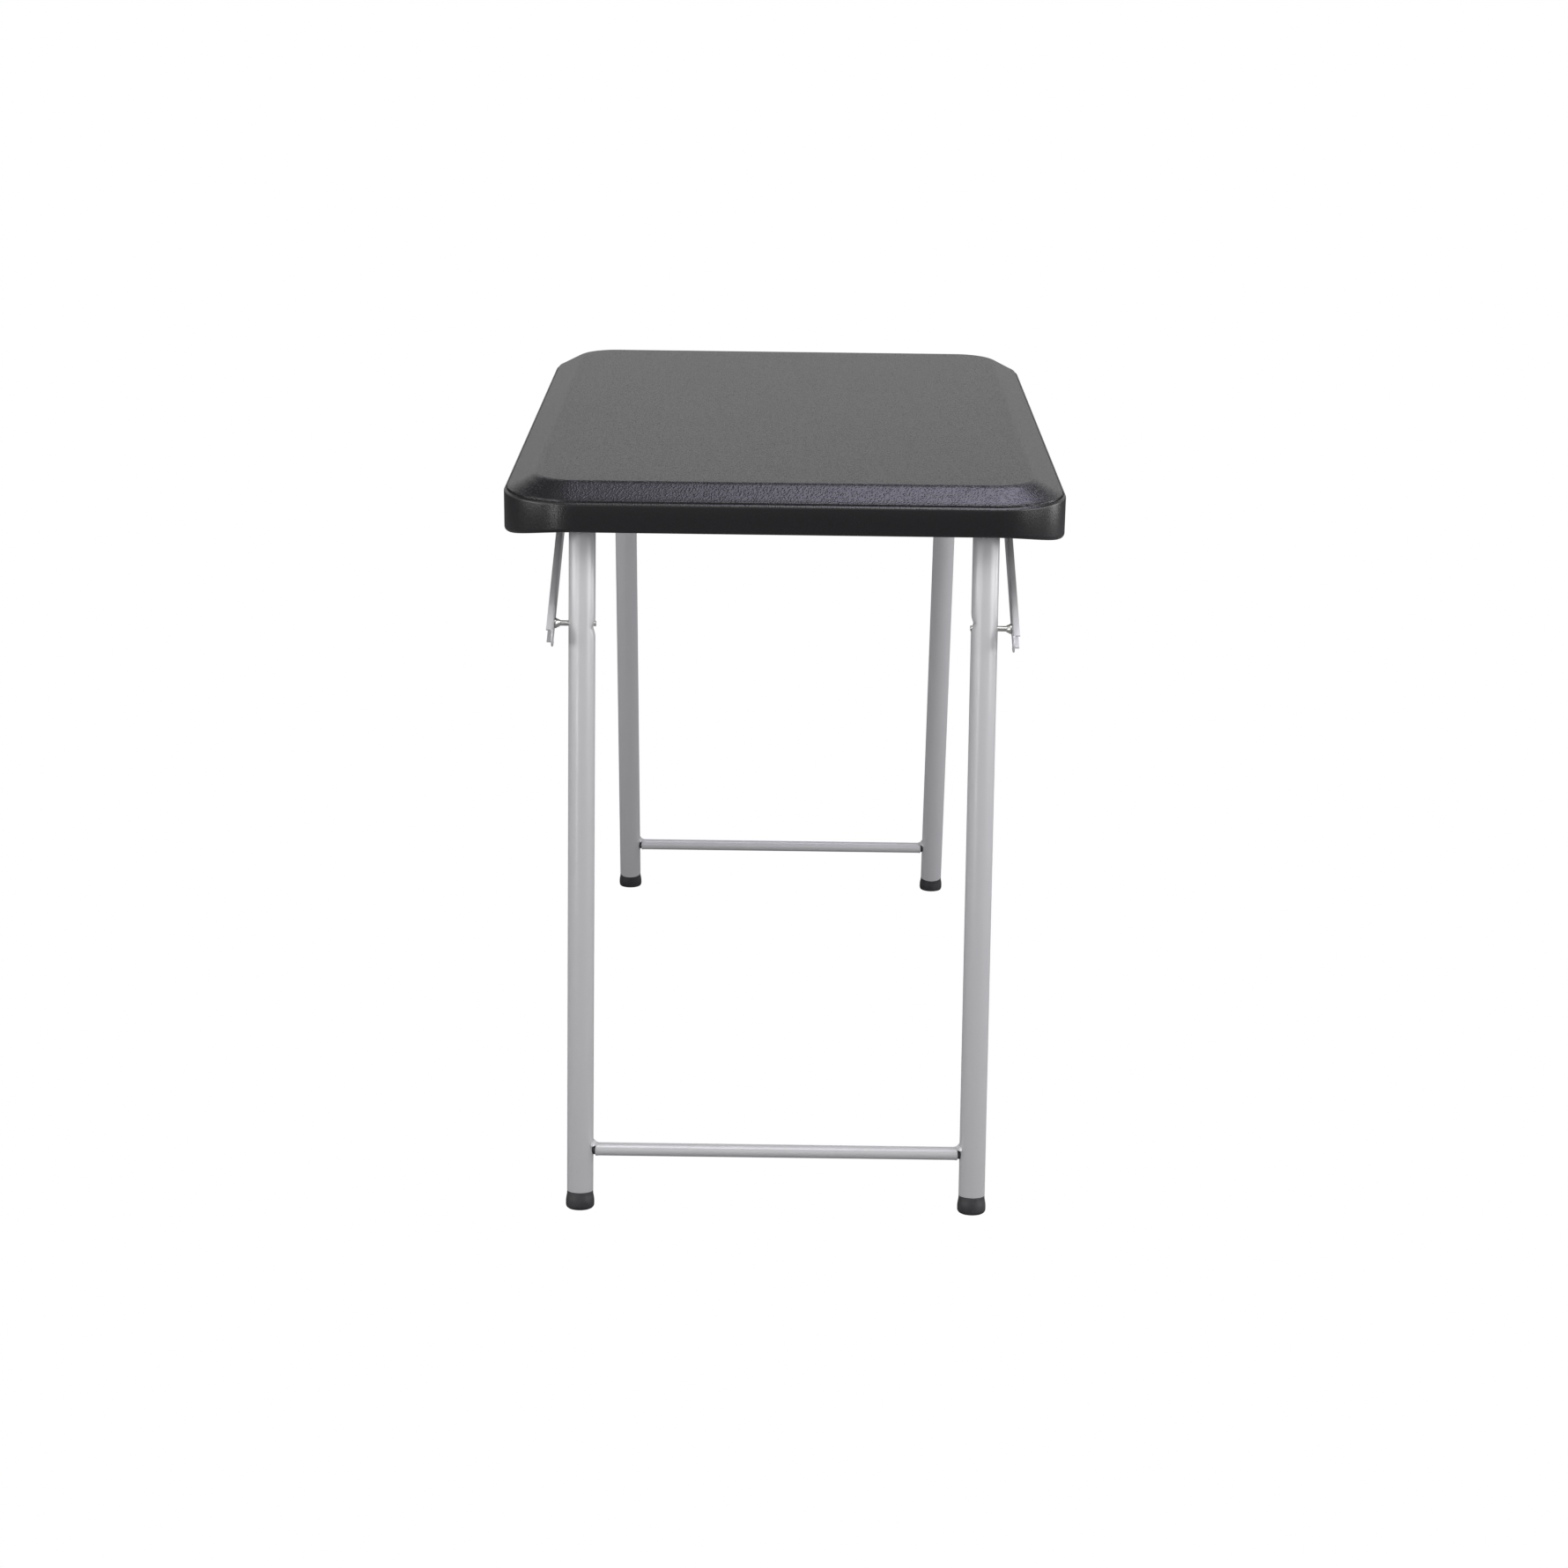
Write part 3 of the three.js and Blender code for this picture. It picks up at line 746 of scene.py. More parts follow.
@dataclass
class MouldedTop:
    """The blow-moulded top: skirt, lip, parting groove, wide bevel, flat, and dimpled underside.

    Args:
        corner: the plan radius of its corners.
        bevel_height: how far the bevel rises from the crease.
        bevel_width: how far it runs in.
        flat_corner: the tighter plan radius where the bevel meets the flat.
        shoulder: the width of the soft turn from the bevel to the flat.
        lip: the radius of the skirt's upper edge, under the crease.
        lip_sweep: how far the lip turns over, in radians.
        skirt_height: from the lower edge to the crease, at the ends.
        skirt_wall: the skirt's thickness.
        panel: the thickness of the panel over the recess.
        hem: the radius of the skirt's lower edge.
        dimple_pitch: the distance between the dimples underneath.
    """

    corner: float = 71 * MM
    bevel_height: float = 14.8 * MM
    bevel_width: float = 29 * MM
    flat_corner: float = 40 * MM
    shoulder: float = 8 * MM
    lip: float = 3.0 * MM
    lip_sweep: float = math.radians(72)
    skirt_height: float = 28.2 * MM
    skirt_wall: float = 18 * MM
    panel: float = 20 * MM
    hem: float = 4 * MM
    dimple_pitch: float = 52 * MM

    def __post_init__(self) -> None:
        """Reads the top's box and works out its heights."""
        low, self.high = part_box("tabletop")
        self.crease = self.high.z - self.bevel_height
        self.rim = self.crease - self.skirt_height
        self.side_drop = self.rim - low.z
        self.ceiling = self.high.z - self.panel

    def build(self, shop: PaintShop) -> None:
        """Makes the top and paints it."""
        top = self._block()
        self._round_hem(top)
        self._choose_cap(top, 1)
        self._turn_lip()
        self._raise_bevel(top)
        self._turn_shoulder(top)
        self._sink_recess(top)
        self._lower_sides(top)
        bpy.ops.object.mode_set(mode="OBJECT")
        cut_away(top, self._dimples())
        shop.finish(tidy(top, 24), "moulded_top", "top", Slot.TOP, ["tabletop"])

    def _block(self) -> bpy.types.Object:
        """A block as high as the skirt's flat wall, with round corners, left in edit mode."""
        clear_bench()
        height = self.crease - self.lip - self.rim
        size = (2 * self.high.x, 2 * self.high.y, height)
        bpy.ops.mesh.primitive_cube_add(size=1, location=(0, 0, self.rim + height / 2), scale=size)
        piece = place(bpy.context.object)
        bpy.ops.object.mode_set(mode="EDIT")
        choose(piece, Part.EDGES, lambda edge: abs(edge.verts[0].co.z - edge.verts[1].co.z) > MM)
        bpy.ops.mesh.bevel(offset=self.corner, segments=CORNER_STEPS, profile=0.5, affect="EDGES")
        return piece

    def _round_hem(self, piece: bpy.types.Object) -> None:
        """Rounds the skirt's lower outer edge."""
        choose(piece, Part.EDGES, lambda edge: all(abs(v.co.z - self.rim) < NEAR for v in edge.verts))
        bpy.ops.mesh.bevel(offset=self.hem, segments=6, profile=0.5, affect="EDGES")

    def _choose_cap(self, piece: bpy.types.Object, up: int) -> None:
        """Selects the large flat face that looks up (1) or down (-1)."""
        choose(piece, Part.FACES, lambda face: face.normal.z * up > 0.99 and len(face.verts) > 40)

    def _step(self, inwards: float, upwards: float) -> None:
        """Insets the chosen cap and moves it along its normal."""
        bpy.ops.mesh.inset(thickness=inwards, depth=upwards, use_even_offset=True)

    def _turn_lip(self) -> None:
        """Turns the skirt over into a round lip, and sinks the fine parting groove behind it."""
        steps, sweep = 5, self.lip_sweep
        for step in range(steps):
            a, b = sweep * step / steps, sweep * (step + 1) / steps
            self._step(self.lip * (math.cos(a) - math.cos(b)), self.lip * (math.sin(b) - math.sin(a)))
        for inwards, downwards in ((0.2, 0.5), (0.3, 0.6), (0.5, 0.1)):
            self._step(inwards * MM, -downwards * MM)

    def _raise_bevel(self, piece: bpy.types.Object) -> None:
        """Climbs out of the groove and up the straight bevel, drawing its corners tighter."""
        slope = self.bevel_height / self.bevel_width
        run = self.lip * (1 - math.cos(self.lip_sweep)) + 1.0 * MM
        start = run + 1.4 * MM
        self._step(0.2 * MM, self.crease + slope * start - self._cap_height(piece) - 0.7 * MM)
        self._step(0.4 * MM, 0.45 * MM)
        self._step(0.8 * MM, 0.25 * MM)
        finish, steps = self.bevel_width - self.shoulder / 2, 5
        radius = self.corner - start
        tighter = (self.corner - self.bevel_width - self.flat_corner) / steps
        for _ in range(steps):
            stride = (finish - start) / steps
            self._step(stride, stride * slope)
            radius -= stride
            self._tighten_corners(piece, radius, radius - tighter)
            radius -= tighter

    def _cap_height(self, piece: bpy.types.Object) -> float:
        """The height of the selected cap."""
        mesh = bmesh.from_edit_mesh(piece.data)
        return next(middle(face).z for face in mesh.faces if face.select)

    def _tighten_corners(self, piece: bpy.types.Object, radius: float, target: float) -> None:
        """Draws the selected cap's round corners towards their sharp tips.

        Args:
            piece: the mesh object being edited.
            radius: the corners' plan radius.
            target: what it becomes.
        """
        mesh = bmesh.from_edit_mesh(piece.data)
        cap = next(face for face in mesh.faces if face.select)
        level = cap.verts[0].co.z
        reach = Vector((max(v.co.x for v in cap.verts), max(v.co.y for v in cap.verts)))
        near, shrink = radius + 0.5 * MM, target / radius
        for sign_x in (-1, 1):
            for sign_y in (-1, 1):
                tip = Vector((sign_x * reach.x, sign_y * reach.y, level))
                choose(
                    piece, Part.VERTS,
                    lambda v: abs(v.co.z - level) < NEAR
                    and abs(v.co.x - tip.x) < near and abs(v.co.y - tip.y) < near,
                )
                bpy.ops.transform.resize(value=(shrink, shrink, 1), center_override=tip)
        self._choose_cap(piece, 1)

    def _turn_shoulder(self, piece: bpy.types.Object) -> None:
        """Bends the surface over from the bevel's slope to level."""
        steps, slope = 8, self.bevel_height / self.bevel_width
        stride = self.shoulder / steps
        for step in range(steps):
            self._step(stride, stride * slope * (1 - (step + 0.5) / steps))
        level = self._cap_height(piece)
        bpy.ops.transform.translate(value=(0, 0, self.high.z - level))

    def _sink_recess(self, piece: bpy.types.Object) -> None:
        """Sinks the underside: a flat rim, a drafted wall and a soft turn into the roof."""
        self._choose_cap(piece, -1)
        deep = self.ceiling - self.rim
        edge, turn_in = 1 * MM, 3 * MM
        self._step(self.skirt_wall - self.hem - 2 * edge, 0)
        self._step(edge, -0.3 * edge)
        self._step(0.3 * edge, -0.7 * edge)
        self._step(0.7 * edge, -(deep - edge - turn_in))
        steps = 4
        for step in range(steps):
            a, b = (math.pi / 2 * share / steps for share in (step, step + 1))
            self._step(turn_in * (math.cos(a) - math.cos(b)), -turn_in * (math.sin(b) - math.sin(a)))

    def _lower_sides(self, piece: bpy.types.Object) -> None:
        """Lowers the rim along the sides, and round each corner by how far round it is."""
        centre = Vector((self.high.x - self.corner, self.high.y - self.corner))
        rim_top = self.rim + self.hem + 0.5 * MM

        def round_the_corner(vert: bmesh.types.BMVert) -> float:
            """How far round a corner a vertex is: 0 at an end of the table, 90 at a side."""
            across = max(0.0, abs(vert.co.x) - centre.x)
            along = max(0.0, abs(vert.co.y) - centre.y)
            return math.degrees(math.atan2(across, along))

        quarter, facet = 90, 90 / CORNER_STEPS
        for number in range(1, round(quarter / facet) + 1):
            angle = number * facet
            choose(
                piece, Part.VERTS,
                lambda v: v.co.z < rim_top and abs(round_the_corner(v) - angle) < facet / 2,
            )
            drop = self.side_drop * math.sin(math.radians(angle)) ** 2
            if drop > 0:
                bpy.ops.transform.translate(value=(0, 0, -drop))

    def _dimples(self) -> bpy.types.Object:
        """The tapered dimples that tie the panel's two skins together, as one cutting tool."""
        dimple = turn([(9 * MM, -4 * MM), (7.5 * MM, 0), (5 * MM, 6 * MM), (3.6 * MM, 7.5 * MM)], 16)
        tools = []
        for column in range(-3, 4):
            for row in range(-6, 7):
                offset = Vector((column, row + (column % 2) * 0.5, 0)) * self.dimple_pitch
                if abs(offset.y) > self.high.y - 62 * MM:
                    continue
                tools.append(copy_of(dimple, Matrix.Translation(offset + Vector((0, 0, self.ceiling)))))
        bpy.data.objects.remove(dimple)
        clear_bench()
        for tool in tools:
            tool.select_set(True)
        bpy.context.view_layer.objects.active = tools[0]
        bpy.ops.object.join()
        return tidy(tools[0])


# ---- The leg frames --------------------------------------------------------------------------


@dataclass
class LegFrame:
    """One pair of legs with its cross rail, hinge rod, feet, rivets and welds.

    Everything is modelled about the hinge with the legs straight down, then swung to the splay.

    Args:
        end: which frame it is.
        splay: how far the legs lean out, in radians.
        wall: the leg tube's wall.
        rail_radius: the cross rail's radius.
        rail_gap: the gap between a leg and the rail's end, where a dark stub stands in as painted shade.
        foot_height: from the floor to the tube's end, along the leg.
    """

    end: End
    splay: float = math.radians(9.25)
    wall: float = 1.2 * MM
    rail_radius: float = 6.25 * MM
    rail_gap: float = 1.9 * MM
    foot_height: float = 15.7 * MM

    def __post_init__(self) -> None:
        """Reads the frame's places."""
        low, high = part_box(f"{self.end.name}_right_leg_tube")
        self.hinge = Vector(self.end.joint("fold")["pos_m"])
        self.pin = Vector(self.end.joint("left_brace_pivot")["pos_m"])
        self.offset = (low.x + high.x) / 2
        self.radius = (high.x - low.x) / 2
        rail_low, rail_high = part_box(f"{self.end.name}_cross_rail")
        self.rail_height = (rail_low.z + rail_high.z) / 2
        self.top = 9 * MM

    def down(self, height: float) -> float:
        """A height above the floor as a place along the leg, counted up from the hinge."""
        return -(self.hinge.z - height) / math.cos(self.splay)

    def swing(self) -> Matrix:
        """From straight down about the origin to the frame's place on the table."""
        return Matrix.Translation(self.hinge) @ Matrix.Rotation(self.end.sign * self.splay, 4, "X")

    def build(self, shop: PaintShop) -> None:
        """Makes the frame's pieces and paints them."""
        self._legs(shop)
        self._feet(shop)
        self._rail(shop)
        self._rod(shop)
        self._rivets(shop)

    def _pair(
        self, shop: PaintShop, left: bpy.types.Object, name: str, slot: Slot, replaced: str = ""
    ) -> None:
        """Finishes a left piece and its mirrored copy.

        Args:
            shop: paints them.
            left: the left piece, about the hinge with the legs straight down.
            name: the end of both names.
            slot: their material slot.
            replaced: the end of the CAD nodes' names, if they replace any.
        """
        label = f"{self.end.name}_SIDE"
        node = f"{label}_{replaced}" if replaced else ""
        shop.finish_pair(place(left, self.swing()), LEFT, f"{label}_{name}", self.end.body, slot, node)

    def _legs(self, shop: PaintShop) -> None:
        """The tubes, open at both ends, each crimped a little off its rivet's height."""
        for side, notch in ((LEFT, -3.5 * MM), (RIGHT, 5 * MM)):
            leg = self._leg(self.down(self.pin.z) + notch)
            turned = Matrix() if side is LEFT else Matrix.Rotation(math.pi, 4, "Z")
            place(leg, self.swing() @ Matrix.Translation((side.sign * self.offset, 0, 0)) @ turned)
            name = f"{self.end.name}_{side.name}_leg"
            shop.finish(leg, name, self.end.body, Slot.PAINT, [f"{name}_tube"])

    def _leg(self, crimp: float) -> bpy.types.Object:
        """A tube about its own axis, pressed in on its +X side.

        Args:
            crimp: the height of the crimp's middle.

        Returns:
            The new object.
        """
        radius, bore = self.radius, self.radius - self.wall
        bottom = self.down(0) + self.foot_height
        reach, depth = 9 * MM, 2.1 * MM
        rings = [crimp + reach * share / 6 for share in range(-8, 9)]
        leg = turn([
            (bore, bottom + 26 * MM), (bore, bottom), (radius - 0.5 * MM, bottom),
            (radius - 0.12 * MM, bottom + 0.15 * MM), (radius, bottom + 0.5 * MM),
            *((radius, ring) for ring in rings),
            (radius, self.top - 0.5 * MM), (radius - 0.3 * MM, self.top), (bore, self.top),
            (bore, self.top - 20 * MM),
        ], TUBE_FACETS)
        take_up(leg)
        bpy.ops.object.mode_set(mode="EDIT")
        for ring in rings[3:-3]:
            closeness = 1 - abs(ring - crimp) / reach
            self._press_in(leg, ring, depth * closeness ** 1.6)
        bpy.ops.object.mode_set(mode="OBJECT")
        return tidy(leg, 40)

    def _press_in(self, leg: bpy.types.Object, ring: float, depth: float) -> None:
        """Presses a ring's +X side towards the tube's axis, deepest in the middle.

        Args:
            leg: the tube being edited.
            ring: the ring's height.
            depth: how far its middle is pressed in.
        """
        widest, facet = 56, 360 / TUBE_FACETS
        for number in range(int(widest / facet) + 1):
            angle = number * facet
            share = math.cos(math.pi / 2 * angle / widest) ** 1.2
            choose(
                leg, Part.VERTS,
                lambda v: abs(v.co.z - ring) < NEAR
                and abs(math.degrees(abs(math.atan2(v.co.y, v.co.x))) - angle) < facet / 2,
            )
            bpy.ops.transform.translate(value=(-depth * share, 0, 0))

    def _feet(self, shop: PaintShop) -> None:
        """The push-in feet, flared and round-edged, cut level with the floor."""
        top = self.down(0) + self.foot_height
        plug = self.radius - self.wall - 0.2 * MM
        wide, edge = 13.62 * MM, 4.2 * MM
        sole = top - self.foot_height - 1.7 * MM
        flare = [(self.radius + (wide - self.radius) * math.sin(math.radians(90 * s / 6)) ** 1.3,
                  top - (2.2 + 8.3 * s / 6) * MM) for s in range(7)]
        foot = turn([
            (plug - 1.5 * MM, top + 23 * MM), (plug, top + 21 * MM), (plug, top - 0.2 * MM),
            (self.radius - 0.45 * MM, top - 0.2 * MM), (self.radius - 0.1 * MM, top - 0.5 * MM),
            (self.radius, top - 0.9 * MM), *flare,
            *arc((wide - edge, sole + edge), edge, 0, -90, 7), (3 * MM, sole),
        ], TUBE_FACETS)
        place(foot, Matrix.Translation((-self.offset, 0, 0)))
        place(foot, self.swing())
        bpy.ops.object.mode_set(mode="EDIT")
        bpy.ops.mesh.select_all(action="SELECT")
        bpy.ops.mesh.bisect(
            plane_co=(0, 0, 0), plane_no=(0, 0, 1), clear_inner=True, use_fill=True, threshold=0.001 * MM
        )
        bpy.ops.object.mode_set(mode="OBJECT")
        place(foot, self.swing().inverted())
        self._pair(shop, tidy(foot, 40), "foot_cap", Slot.RUBBER, "foot")

    def _rail(self, shop: PaintShop) -> None:
        """The cross rail, the dark stubs that join it to the legs as painted shade in the gaps, and the weld
        over each.
        """
        height = self.down(self.rail_height)
        reach = self.offset - self.radius - self.rail_gap
        lip, radius = 0.25 * MM, self.rail_radius
        half = [(radius, reach - 3 * MM), (radius + lip, reach - 2 * MM), (radius + lip, reach - 0.7 * MM),
                (radius - 0.4 * MM, reach)]
        rail = turn([(r, -x) for r, x in reversed(half)] + half, 48)
        place(rail, self.swing() @ across(RIGHT, Vector((0, 0, height))))
        name = f"{self.end.name}_cross_rail_tube"
        shop.finish(tidy(rail), name, self.end.body, Slot.PAINT, [f"{self.end.name}_cross_rail"])

        # Painted shade: a dark rubber stub fills each gap between the rail's end and the leg, to look like
        # the shade in it.
        shade_plug = turn([(5.2 * MM, reach - 2 * MM), (5.2 * MM, reach + self.rail_gap + 2 * MM)], 32)
        place(shade_plug, across(LEFT, Vector((0, 0, height))))
        self._pair(shop, tidy(shade_plug), "rail_stub", Slot.RUBBER)

        fillet = [(radius - 0.4 * MM, reach - 3.2 * MM), (radius + 0.1 * MM, reach - 3 * MM),
                  (radius + 0.7 * MM, reach - 1.2 * MM), (radius + 1.8 * MM, reach + 0.4 * MM),
                  (radius + 3.4 * MM, reach + 1.6 * MM), (radius + 3.4 * MM, reach + 4 * MM),
                  (radius - 0.4 * MM, reach + 4 * MM)]
        weld = turn(fillet, 48)
        place(weld, across(LEFT, Vector((0, 0, height))))
        bpy.ops.object.mode_set(mode="EDIT")
        bpy.ops.mesh.select_all(action="SELECT")
        lean = Vector((0, 0.12 * self.end.sign, 1)).normalized()
        bpy.ops.mesh.bisect(
            plane_co=Vector((0, 0, height)) + lean * 5.4 * MM, plane_no=lean, clear_inner=True, use_fill=True
        )
        bpy.ops.object.mode_set(mode="OBJECT")
        self._pair(shop, tidy(weld), "rail_weld", Slot.PAINT)

    def _rod(self, shop: PaintShop) -> None:
        """The hinge rod and its push-on end caps."""
        low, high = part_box(f"{self.end.name}_hinge_rod")
        radius, reach = (high.z - low.z) / 2, high.x
        half = [(radius, reach - 0.8 * MM), (radius - 0.8 * MM, reach)]
        rod = turn([(r, -x) for r, x in reversed(half)] + half, 32)
        place(rod, self.swing() @ across(RIGHT, Vector()))
        name = self.end.name
        shop.finish(tidy(rod), f"{name}_rod", self.end.body, Slot.ZINC, [f"{name}_hinge_rod"])
        low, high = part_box(f"{name}_right_rod_cap")
        wide, inner, outer = (high.z - low.z) / 2, low.x, high.x
        cap = turn([
            (radius + 0.2 * MM, inner + 1 * MM), (radius + 0.2 * MM, inner), (wide - 0.3 * MM, inner),
            (wide, inner + 0.4 * MM), (wide, outer - 1.6 * MM), (wide - 0.6 * MM, outer - 0.8 * MM),
            (wide - 2 * MM, outer - 0.15 * MM), (wide - 3.4 * MM, outer), (1.4 * MM, outer),
        ], 40)
        place(cap, across(LEFT, Vector()))
        self._pair(shop, tidy(cap), "rod_end_cap", Slot.RUBBER, "rod_cap")

    def _rivets(self, shop: PaintShop) -> None:
        """The rivet that each brace turns on, and the cone that spaces the brace from the leg."""
        along = self.down(self.pin.z)
        low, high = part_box(f"{self.end.name}_right_brace_pin")
        radius, head = 2.5 * MM, 4.4 * MM
        seat = high.x - 2 * MM
        rivet = turn([
            (0.8 * MM, low.x + 1.1 * MM), (1.9 * MM, low.x + 1.2 * MM), (2.6 * MM, low.x + 1.5 * MM),
            (2.8 * MM, low.x + 1.9 * MM), (radius, low.x + 2.1 * MM), (radius, seat), (head, seat),
            (head, seat + 0.7 * MM), (head - 0.7 * MM, seat + 1.3 * MM), (head - 2 * MM, seat + 1.85 * MM),
            (0.8 * MM, seat + 2 * MM),
        ], 32)
        place(rivet, across(LEFT, Vector((0, 0, along))))
        self._pair(shop, tidy(rivet), "rivet", Slot.ZINC, "brace_pin")
        low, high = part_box(f"{self.end.name}_right_pin_cone")
        wide = 4.85 * MM
        cone = turn([
            (radius + 0.2 * MM, high.x - 1 * MM), (radius + 0.2 * MM, low.x), (radius + 0.7 * MM, low.x),
            (radius + 1.1 * MM, low.x + 1.2 * MM), (wide - 0.5 * MM, high.x - 1.7 * MM),
            (wide, high.x - 1.1 * MM), (wide, high.x - 0.2 * MM), (wide - 0.2 * MM, high.x),
            (radius + 0.2 * MM, high.x),
        ], 32)
        place(cone, across(LEFT, Vector((0, 0, along))))
        self._pair(shop, tidy(cone), "spacer_cone", Slot.ZINC, "pin_cone")


# ---- The braces and what they slide in -------------------------------------------------------


@dataclass
class Brace:
    """A stamped channel brace with its bush and slide shoe, on each side of one end.

    Args:
        end: which frame it holds.
        sheet: the channel's thickness.
        width: its width.
        flange_past: how far its flanges run on past the rivet.
        tongue_past: how far its lower tongue runs on past the rivet.
    """

    end: End
    sheet: float = 1.5 * MM
    width: float = 16 * MM
    flange_past: float = 19 * MM
    tongue_past: float = 30 * MM

    def __post_init__(self) -> None:
        """Reads the brace's places."""
        label = f"{self.end.name}_right"
        self.pin = Vector(self.end.joint("right_brace_pivot")["pos_m"])
        low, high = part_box(f"{label}_brace_bush")
        self.stud = (low + high) / 2
        self.stud.x = 0
        brace_low, brace_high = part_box(f"{label}_brace")
        self.inner, self.outer = brace_low.x, brace_high.x
        self.bush_inner = low.x

    def lean(self) -> Matrix:
        """From along +Y about the origin to the brace's place, without its X."""
        run = self.stud - self.pin
        return Matrix.Translation(self.pin) @ Matrix.Rotation(math.atan2(run.z, run.y), 4, "X")

    def build(self, shop: PaintShop) -> None:
        """Makes both sides' pieces and paints them."""
        length = (self.stud - self.pin).length
        self._pair(shop, self._channel(length), "brace_channel", "link", Slot.PAINT, "brace")
        self._pair(shop, self._bush(length), "brace_rivet", "link", Slot.ZINC, "brace_bush")
        self._pair(shop, self._shoe(), "guide_shoe", "shoe", Slot.NYLON, "slide_shoe")

    def _pair(
        self, shop: PaintShop, right: bpy.types.Object, name: str, body: str, slot: Slot, replaced: str
    ) -> None:
        """Finishes a right piece, in its place, and its mirrored copy.

        Args:
            shop: paints them.
            right: the right piece.
            name: the end of both names.
            body: the end of the bodies' names.
            slot: their material slot.
            replaced: the end of the names of the CAD nodes that they replace.
        """
        label = f"{self.end.name}_SIDE"
        shop.finish_pair(right, RIGHT, f"{label}_{name}", f"{label}_{body}", slot, f"{label}_{replaced}")

    def _channel(self, length: float) -> bpy.types.Object:
        """The folded channel with its bare tongues."""
        half = (self.width - self.sheet) / 2
        web, lip = self.inner + self.sheet / 2, self.outer
        section = [(lip, -half), (web, -half), (web, half), (lip, half)]
        tip = self.width / 2
        sheet = FoldedSheet(
            section, (-self.flange_past, length - tip - 2 * MM), self.sheet, 1.6 * MM,
            tabs=((1, -self.tongue_past, 0.97 * half), (1, length + tip, 0.97 * half)),
        )
        channel = sheet.build()
        return place(channel, self.lean())

    def _bush(self, length: float) -> bpy.types.Object:
        """The rivet and bush at the brace's upper end."""
        start, face = self.bush_inner, self.outer
        seat = self.inner + self.sheet + 0.1 * MM
        bush = turn([
            (0.8 * MM, start), (2.8 * MM, start + 0.2 * MM), (4 * MM, start + 0.7 * MM),
            (4.6 * MM, start + 1.4 * MM), (3 * MM, start + 1.4 * MM), (3 * MM, seat), (5.5 * MM, seat),
            (5.6 * MM, seat + 0.2 * MM), (5.6 * MM, face - 0.9 * MM), (5.2 * MM, face - 0.2 * MM),
            (4.8 * MM, face), (0.8 * MM, face),
        ], 32)
        place(bush, across(RIGHT, Vector((0, length, 0))))
        return tidy(place(bush, self.lean()))

    def _shoe(self) -> bpy.types.Object:
        """The nylon shoe: a rounded block with shallow grease grooves and a stud."""
        low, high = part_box(f"{self.end.name}_right_slide_shoe")
        block_inner = low.x + 5.6 * MM
        clear_bench()
        centre = Vector(((block_inner + high.x) / 2, (low.y + high.y) / 2, (low.z + high.z) / 2))
        size = (high.x - block_inner, high.y - low.y, high.z - low.z)
        bpy.ops.mesh.primitive_cube_add(size=1, location=centre, scale=size)
        shoe = place(bpy.context.object)
        bpy.ops.object.mode_set(mode="EDIT")
        choose(shoe, Part.EDGES, lambda edge: abs(edge.verts[0].co.x - edge.verts[1].co.x) > MM)
        bpy.ops.mesh.bevel(offset=3 * MM, segments=5, affect="EDGES")
        choose(shoe, Part.FACES, lambda face: face.normal.x < -0.99)
        bpy.ops.mesh.inset(thickness=2.2 * MM, depth=0)
        bpy.ops.mesh.inset(thickness=0.4 * MM, depth=-0.8 * MM)
        bpy.ops.object.mode_set(mode="OBJECT")
        modify(shoe, "BEVEL", width=0.35 * MM, segments=2, limit_method="ANGLE", angle_limit=math.radians(50))
        stud = turn([(2.4 * MM, low.x), (3 * MM, low.x + 0.5 * MM), (3 * MM, block_inner + 2 * MM)], 32)
        place(stud, across(RIGHT, Vector((0, centre.y, centre.z))))
        modify(shoe, "BOOLEAN", object=stud, operation="UNION", solver="EXACT")
        bpy.data.objects.remove(stud)
        return tidy(shoe)


